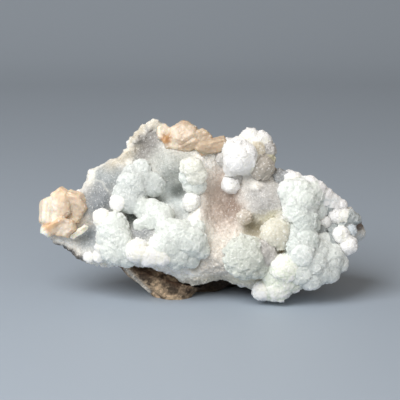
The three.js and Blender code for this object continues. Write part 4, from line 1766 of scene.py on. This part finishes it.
RIGHT_BALLS = (
    Ball(38.6, 41.4, 8.6, -0.12), Ball(35.8, 48.8, 3.2, 0.3, Tint.SNOW),
    Ball(40.4, 31.8, 6.0, 0.3, Tint.BIG_PALE), Ball(40.8, 35.8, 4.2, 0.35, Tint.MINT_GREY),
    Ball(40.8, 24.6, 4.8, 0.45, Tint.BIG_PALE), Ball(38.8, 19.4, 4.8, 0.5, Tint.MINT_GREY),
    Ball(34.8, 25.6, 4.2, 0.0, Tint.BIG_PALE),
    Ball(43.8, 16.0, 6.0, 0.1, Tint.MINT_GREY), Ball(50.4, 17.6, 5.8, 0.05, Tint.MINT_GREY),
    Ball(49.6, 12.4, 4.6, 0.1, Tint.MINT_GREY), Ball(42.4, 10.0, 5.0, 0.1, Tint.MINT_GREY),
    Ball(32.4, 13.8, 6.0, 0.3, Tint.MINT_WHITE), Ball(29.8, 6.2, 5.6, 0.05, Tint.MINT_WHITE),
    Ball(35.4, 8.4, 4.4, 0.0, Tint.MINT_WHITE),
    Ball(23.4, 4.8, 4.0, 0.1, Tint.SNOW), Ball(23.4, 19.6, 5.4, 0.1, Tint.LILAC),
    Ball(34.4, 44.2, 4.6, 0.2), Ball(42.6, 43.6, 5.4, 0.1), Ball(36.8, 36.6, 5.4, 0.2),
    Ball(50.6, 36.6, 2.8, 0.0, Tint.GREY),
    Ball(45.8, 36.4, 3.4, 0.1, Tint.MINT_GREY), Ball(45.6, 28.8, 3.2, 0.2, Tint.GREY),
    Ball(47.6, 24.4, 3.6, 0.3, Tint.MINT_GREY), Ball(51.4, 24.6, 3.2, 0.3, Tint.GREY),
    Ball(51.8, 30.2, 2.8, 0.3, Tint.GREY), Ball(45.4, 20.8, 4.4, 0.2, Tint.MINT_GREY),
    Ball(36.8, 22.2, 4.4, 0.2, Tint.BIG_PALE), Ball(37.6, 28.4, 3.8, 0.2, Tint.BIG_PALE),
    Ball(38.2, 12.2, 5.2, 0.2), Ball(46.6, 12.4, 4.6, 0.2, Tint.MINT_GREY),
    Ball(32.8, 9.4, 4.8, 0.2, Tint.MINT_WHITE), Ball(27.4, 9.8, 4.0, 0.1, Tint.MINT_WHITE),
    Ball(26.4, 5.0, 3.8, 0.1, Tint.MINT_WHITE), Ball(54.2, 15.6, 3.6, 0.0, Tint.MINT_GREY),
)
# Painted shade: the crown's grey balls stand for its shaded right side.
CROWN_BALLS = (
    Ball(14.8, 57.6, 6.6, 0.5, Tint.SNOW), Ball(10.6, 61.6, 3.8, 0.3, Tint.SNOW),
    Ball(18.4, 65.4, 4.0, 0.2, Tint.SNOW), Ball(23.4, 64.8, 3.6, 0.2, Tint.SNOW),
    Ball(25.4, 61.0, 3.4, 0.2, Tint.LILAC), Ball(20.8, 60.8, 3.8, 0.4, Tint.CREAM),
    Ball(23.4, 53.8, 4.6, 0.4, Tint.CROWN_PAINTED_SHADE), Ball(9.0, 57.2, 3.6, 0.2, Tint.LILAC),
    Ball(25.6, 57.2, 3.0, 0.2, Tint.OLIVE_PALE), Ball(14.4, 62.2, 4.0, 0.3, Tint.SNOW),
    Ball(21.0, 63.6, 3.6, 0.3, Tint.SNOW), Ball(17.6, 61.4, 3.8, 0.4, Tint.SNOW),
    Ball(19.6, 56.0, 4.0, 0.4, Tint.CROWN_PAINTED_SHADE), Ball(11.6, 54.0, 3.6, 0.4, Tint.SNOW),
    Ball(12.4, 49.8, 3.2, 0.2, Tint.LILAC),
)
PALE_BALLS = (
    Ball(16.2, 18.2, 8.2, 0.0, Tint.PALE), Ball(20.0, 15.0, 5.2, 0.0, Tint.PALE),
)
SHOULDER_BALLS = (
    Ball(42.4, 47.4, 3.0, 0.8, Tint.FROST), Ball(45.8, 45.2, 3.2, 0.7, Tint.FROST),
    Ball(48.8, 42.4, 3.0, 0.4, Tint.FROST), Ball(51.6, 39.8, 2.8, 0.3, Tint.FROST),
)
CREST_RISES = (0, -0.6, 0.4, -0.8, 0.2, -0.4, 0.6, -0.6, 0, -0.9, 0.3, -0.4, 0.4, -0.6)
CREST_RADII = (2.6, 3.2, 2.2, 2.9, 3.4)
CREST_BALLS = tuple(
    Ball(34.6 + 1.52 * step, 50.2 - 0.86 * step + rise, radius, 0.1, Tint.FROST)
    for step, (rise, radius) in enumerate(zip(CREST_RISES, cycle(CREST_RADII)))
)
END_BALLS = (
    Ball(53.0, 34.8, 3.4, 0.1, Tint.SNOW), Ball(55.8, 34.6, 3.2, 0.1, Tint.SNOW),
    Ball(58.4, 34.0, 3.0, 0.0, Tint.GREY), Ball(60.6, 33.2, 2.4, 0.0, Tint.GREY),
    Ball(54.8, 26.8, 3.6, 0.5, Tint.SNOW), Ball(57.8, 22.6, 3.6, 0.3, Tint.SNOW),
    Ball(58.8, 28.6, 2.6, 0.0, Tint.ICE), Ball(55.8, 30.4, 2.6, 0.0, Tint.GREY),
)
UPPER_BALLS = (
    Ball(-4.2, 53.6, 4.2, 0.3, Tint.WARM_WHITE), Ball(-4.4, 47.6, 4.0, 0.1),
    Ball(-3.0, 50.8, 4.4, 0.2, Tint.WARM_WHITE), Ball(-6.0, 50.2, 3.8, 0.1),
    Ball(-2.2, 46.6, 3.4, 0.1), Ball(-6.4, 53.8, 3.2, 0.1, Tint.WARM_WHITE),
)
LONE_BALLS = {
    "pearl_upper": Ball(11.0, 47.2, 3.6, 0.5, Tint.SNOW),
    "pearl_middle": Ball(-4.8, 40.0, 3.6, 0.6, Tint.SNOW),
    "pearl_lower": Ball(16.4, 34.0, 3.0, 0.5, Tint.CREAM_GREY),
    "pearl_right": Ball(48.2, 32.0, 2.8, 0.5, Tint.SNOW),
}
CREAM_BALL = Ball(28.8, 27.2, 6.2, 0.3, Tint.CREAM_BALL)

LEFT_BLADES = (
    Blade((-61.0, 36.0, 3.0), (8.6, 14.5, 8), (-4, 18, -6)),
    Blade((-56.6, 39.4, 4.0), (7.4, 13.5, 7), (8, -12, 0)),
    Blade((-51.8, 38.4, 3.6), (11.0, 13.5, 6), (28, -22, 8)),
    Blade((-59.6, 30.4, 4.6), (5.4, 12.5, 6), (-62, 10, 6)),
    Blade((-55.4, 29.8, 4.4), (8.0, 9.5, 6), (-38, -14, 10)),
)
TOP_BLADES = (
    Blade((-14.8, 67.0, 0.4), (6.6, 9.5, 4), (62, 8, -10)),
    Blade((-8.2, 67.4, 1.0), (9.0, 12.5, 6), (-58, -10, -14)),
    Blade((-10.6, 63.6, 2.0), (5.6, 12.0, 4), (84, 14, 6)),
    Blade((-2.2, 65.4, 1.4), (7.0, 11.5, 5), (-70, 6, 0)),
    Blade((3.6, 62.6, 2.8), (5.4, 14.0, 4.6), (-78, 16, 4)),
    Blade((-5.6, 63.0, 2.6), (4.2, 9.0, 3.6), (-64, 24, 4)),
)
SPLINTER = Blade((-49.6, 28.2, 5.0), (2.4, 8.6, 1.8), (-57, 20, 4))

LEFT_PATCHES = (
    Patch("cream block", (-61.4, 36), (5, 7), Tint.STILBITE_CREAM),
    Patch("tan face", (-51.5, 37.5), (6, 6.5), Tint.TAN, 0.85),
    Patch("orange band", (-60.5, 30.5), (5.5, 2.2), Tint.ORANGE, 0.9, 28),
    Patch("cream lump", (-55, 29.5), (4, 3.5), Tint.CREAM_GREY, 0.7),
    Patch("white tip", (-64, 26.8), (3, 2.6), Tint.SNOW, 0.9),
)
TOP_PATCHES = (
    Patch("cream left", (-17, 67.5), (4.6, 4.6), Tint.STILBITE_CREAM, 0.7),
    Patch("cream middle", (-11.6, 65), (2.2, 4), Tint.STILBITE_CREAM, 0.7),
    Patch("orange spot", (-14.8, 65.8), (3.0, 2.1), Tint.ORANGE_DEEP, 0.95),
    Patch("pale top", (-6.5, 68.5), (6, 3.5), Tint.STILBITE_CREAM, 0.35),
    Patch("blade", (3.6, 62.6), (6, 3.5), Tint.BLADE, 0.8),
    Patch("dark seam", (0.6, 59.8), (3, 0.8), Tint.OLIVE, 0.8, -35),
)

MILKY = Finish(
    "Milky mint", roughness=0.3, depth=1.0, depth_mm=1.4, depth_colour=(1.0, 1.0, 0.97),
    grain_mm=1.3, grain_bump=0.07, grain_contrast=0.05, facet_mm=0.4, facet_tilt=0.25,
    painted_glint_share=0.06, painted_glint=0.4, gloss=0.3,
)
SNOWY = Finish(
    "Snow", roughness=0.42, depth=1.0, depth_mm=2.5, depth_colour=(1.0, 1.0, 1.0), grain_mm=0.8,
    grain_bump=0.18, facet_tilt=0.2,
)
CREAMY = Finish(
    "Milky cream", roughness=0.36, depth=1.0, depth_mm=3.0, grain_mm=1.2, grain_bump=0.15,
    facet_tilt=0.2,
)
PEARLY = Finish(
    "Pearly stilbite", roughness=0.38, depth=0.7, depth_colour=(1.0, 0.7, 0.45), grain_mm=1.6,
    grain_bump=0.15, mottle_contrast=0.1, facet_tilt=0.15, painted_glint_share=0.02, painted_glint=0.3,
)


@dataclass(frozen=True)
class Lamp:
    """A square soft light: its place and size in millimetres, power and linear colour."""

    name: str
    at: Spot
    size: float
    power: float
    colour: Spot

    def hang(self, toward: Vector) -> None:
        """Puts the light up, facing a place in millimetres.

        Args:
            toward: The place.
        """
        data = bpy.data.lights.new(self.name, "AREA")
        data.size = self.size * MM
        data.energy = self.power
        data.color = self.colour
        lamp = bpy.data.objects.new(self.name, data)
        lamp.location = Vector(self.at) * MM
        lamp.rotation_euler = (toward - Vector(self.at)).to_track_quat("-Z", "Y").to_euler()
        bpy.context.scene.collection.objects.link(lamp)


@dataclass
class Studio:
    """Floor, lights and camera: a soft light high on the left and the cluster seen head on."""

    distance: float = 600.0
    seen: Spot = (-1.4, 40.8, 4.0)
    frame_width: float = 160.0
    sensor: float = 36.0
    floor_tint: Spot = (0.38, 0.44, 0.515)
    floor_roughness: float = 0.55
    floor_half: float = 1500.0
    floor_front: float = -900.0
    floor_bend: float = 500.0
    floor_back: float = 1100.0
    floor_radius: float = 420.0
    lamps: tuple[Lamp, ...] = (
        Lamp("Key", (-380, -460, 620), 620, 8.0, (0.99, 0.99, 0.985)),
        Lamp("Fill", (260, -620, 460), 700, 1.15, (1.0, 0.93, 0.84)),
    )
    lamp_target: Spot = (0, 0, 30)
    surround: Spot = (0.97, 0.85, 0.73)
    surround_strength: float = 0.22

    def build(self) -> None:
        """Makes the floor, the camera, the lights and the even surrounding light."""
        self.floor()
        self.camera()
        for lamp in self.lamps:
            lamp.hang(Vector(self.lamp_target))
        world = bpy.data.worlds.new("Surround")
        world.use_nodes = True
        background = world.node_tree.nodes["Background"]
        background.inputs["Color"].default_value = (*self.surround, 1)
        background.inputs["Strength"].default_value = self.surround_strength
        bpy.context.scene.world = world
        bpy.context.scene.view_settings.view_transform = "Standard"

    def floor(self) -> None:
        """A wide plane that curves up far behind: height (y - bend)^2 / radius past the bend."""
        bend = self.floor_bend
        level = np.linspace(self.floor_front, bend, 8)
        y = np.concatenate([level, np.linspace(bend + 40, self.floor_back, 24)])
        z = np.where(y > bend, (y - bend) ** 2 / self.floor_radius, 0)
        x = np.linspace(-self.floor_half, self.floor_half, 13)
        grid_x, grid_y = np.meshgrid(x, y, indexing="ij")
        grid_z = np.broadcast_to(z, grid_x.shape)
        vertices = np.stack([grid_x, grid_y, grid_z], axis=-1).reshape(-1, 3) * MM
        rows, columns = grid_x.shape
        i, j = np.meshgrid(np.arange(rows - 1), np.arange(columns - 1), indexing="ij")
        first = (i * columns + j).ravel()
        quads = np.stack([first, first + columns, first + columns + 1, first + 1], axis=-1)
        mesh = bpy.data.meshes.new("floor")
        mesh.from_pydata(vertices.tolist(), [], quads.tolist())
        mesh.shade_smooth()
        material = bpy.data.materials.new("Pale floor")
        material.use_nodes = True
        shader = material.node_tree.nodes["Principled BSDF"]
        shader.inputs["Base Color"].default_value = (*self.floor_tint, 1)
        shader.inputs["Roughness"].default_value = self.floor_roughness
        mesh.materials.append(material)
        floor = bpy.data.objects.new("floor", mesh)
        bpy.context.scene.collection.objects.link(floor)
        floor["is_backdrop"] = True

    def camera(self) -> None:
        """Looks straight along the leaning face's normal at the middle of the view."""
        target = from_face(*(np.array(value) for value in self.seen))
        data = bpy.data.cameras.new("camera")
        data.sensor_width = self.sensor
        data.lens = self.sensor * self.distance / self.frame_width
        data.clip_start = 0.01
        camera = bpy.data.objects.new("camera", data)
        camera.location = Vector((target + FACE_OUT * self.distance) * MM)
        camera.rotation_euler = Vector(FACE_OUT).to_track_quat("Z", "Y").to_euler()
        bpy.context.scene.collection.objects.link(camera)
        bpy.context.scene.camera = camera


def ball_masses() -> Iterator[BallMass]:
    """Lists the masses of balls and the lone balls.

    Yields:
        Each of them, ready to build.
    """
    mint, white, cream = "mint_apophyllite", "white_apophyllite", "cream_apophyllite"
    yield BallMass(
        Label("mint_left", "apophyllite_left", mint), LEFT_BALLS, MILKY, calm=0.9, tone=0.93
    )
    right = lobed(RIGHT_BALLS, 5.7) + PALE_BALLS + SHOULDER_BALLS + CREST_BALLS
    yield BallMass(
        Label("mint_right", "apophyllite_right", mint), right, MILKY,
        calm=0.85, tone=1.03, seam=0.16, salt=160,
    )
    yield BallMass(
        Label("mint_upper", "apophyllite_upper", mint), UPPER_BALLS, MILKY, 0.25, 0.5, salt=180
    )
    yield BallMass(
        Label("snow_crown", "apophyllite_crown", white), CROWN_BALLS, SNOWY, 0.26, 0.6,
        tone=1.04, habit=BLOCKY, salt=200,
    )
    yield BallMass(
        Label("snow_end", "apophyllite_end", white), END_BALLS, SNOWY, 0.26,
        habit=CRUMBLY, salt=220,
    )
    for salt, (name, ball) in enumerate(LONE_BALLS.items(), start=240):
        label = Label(name, "apophyllite_" + name, white)
        yield BallMass(label, (ball,), SNOWY, 0.2, habit=CRUMBLY, salt=salt)
    label = Label("cream_ball", "apophyllite_cream_ball", cream)
    yield BallMass(label, (CREAM_BALL,), CREAMY, 0.25, 0.85, salt=260)


def sheaves() -> Iterator[Sheaf]:
    """Lists the two sheaves of stilbite and the splinter.

    Yields:
        Each of them, ready to build.
    """
    peach = "peach_stilbite"
    left = Label("stilbite_left_sheaf", "stilbite_left", peach)
    yield Sheaf(left, LEFT_BLADES, LEFT_PATCHES, PEARLY)
    top = Label("stilbite_top_sheaf", "stilbite_top", peach)
    yield Sheaf(top, TOP_BLADES, TOP_PATCHES, PEARLY, Tint.BLADE, salt=340)
    splinter = Label("splinter", "stilbite_splinter", peach)
    yield Sheaf(splinter, (SPLINTER,), (), PEARLY, Tint.STILBITE_CREAM, 0.15, 380)


def main() -> None:
    """Loads the frame, builds the studio and every piece, and works out both boxes."""
    logging.basicConfig(level=logging.INFO, format="%(message)s")
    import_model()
    cad_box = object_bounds()
    Studio().build()
    for maker in (BasaltMatrix(), DruseCrust(), *ball_masses(), *sheaves(), SmokyBlades()):
        piece = maker.build()
        LOG.info("%s: %d faces", piece.name, len(piece.data.polygons))
    boxes = {"cad": cad_box, "visual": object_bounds()}
    {key: [[float(v) for v in corner] for corner in box] for key, box in boxes.items()}


if __name__ == "__main__":
    main()
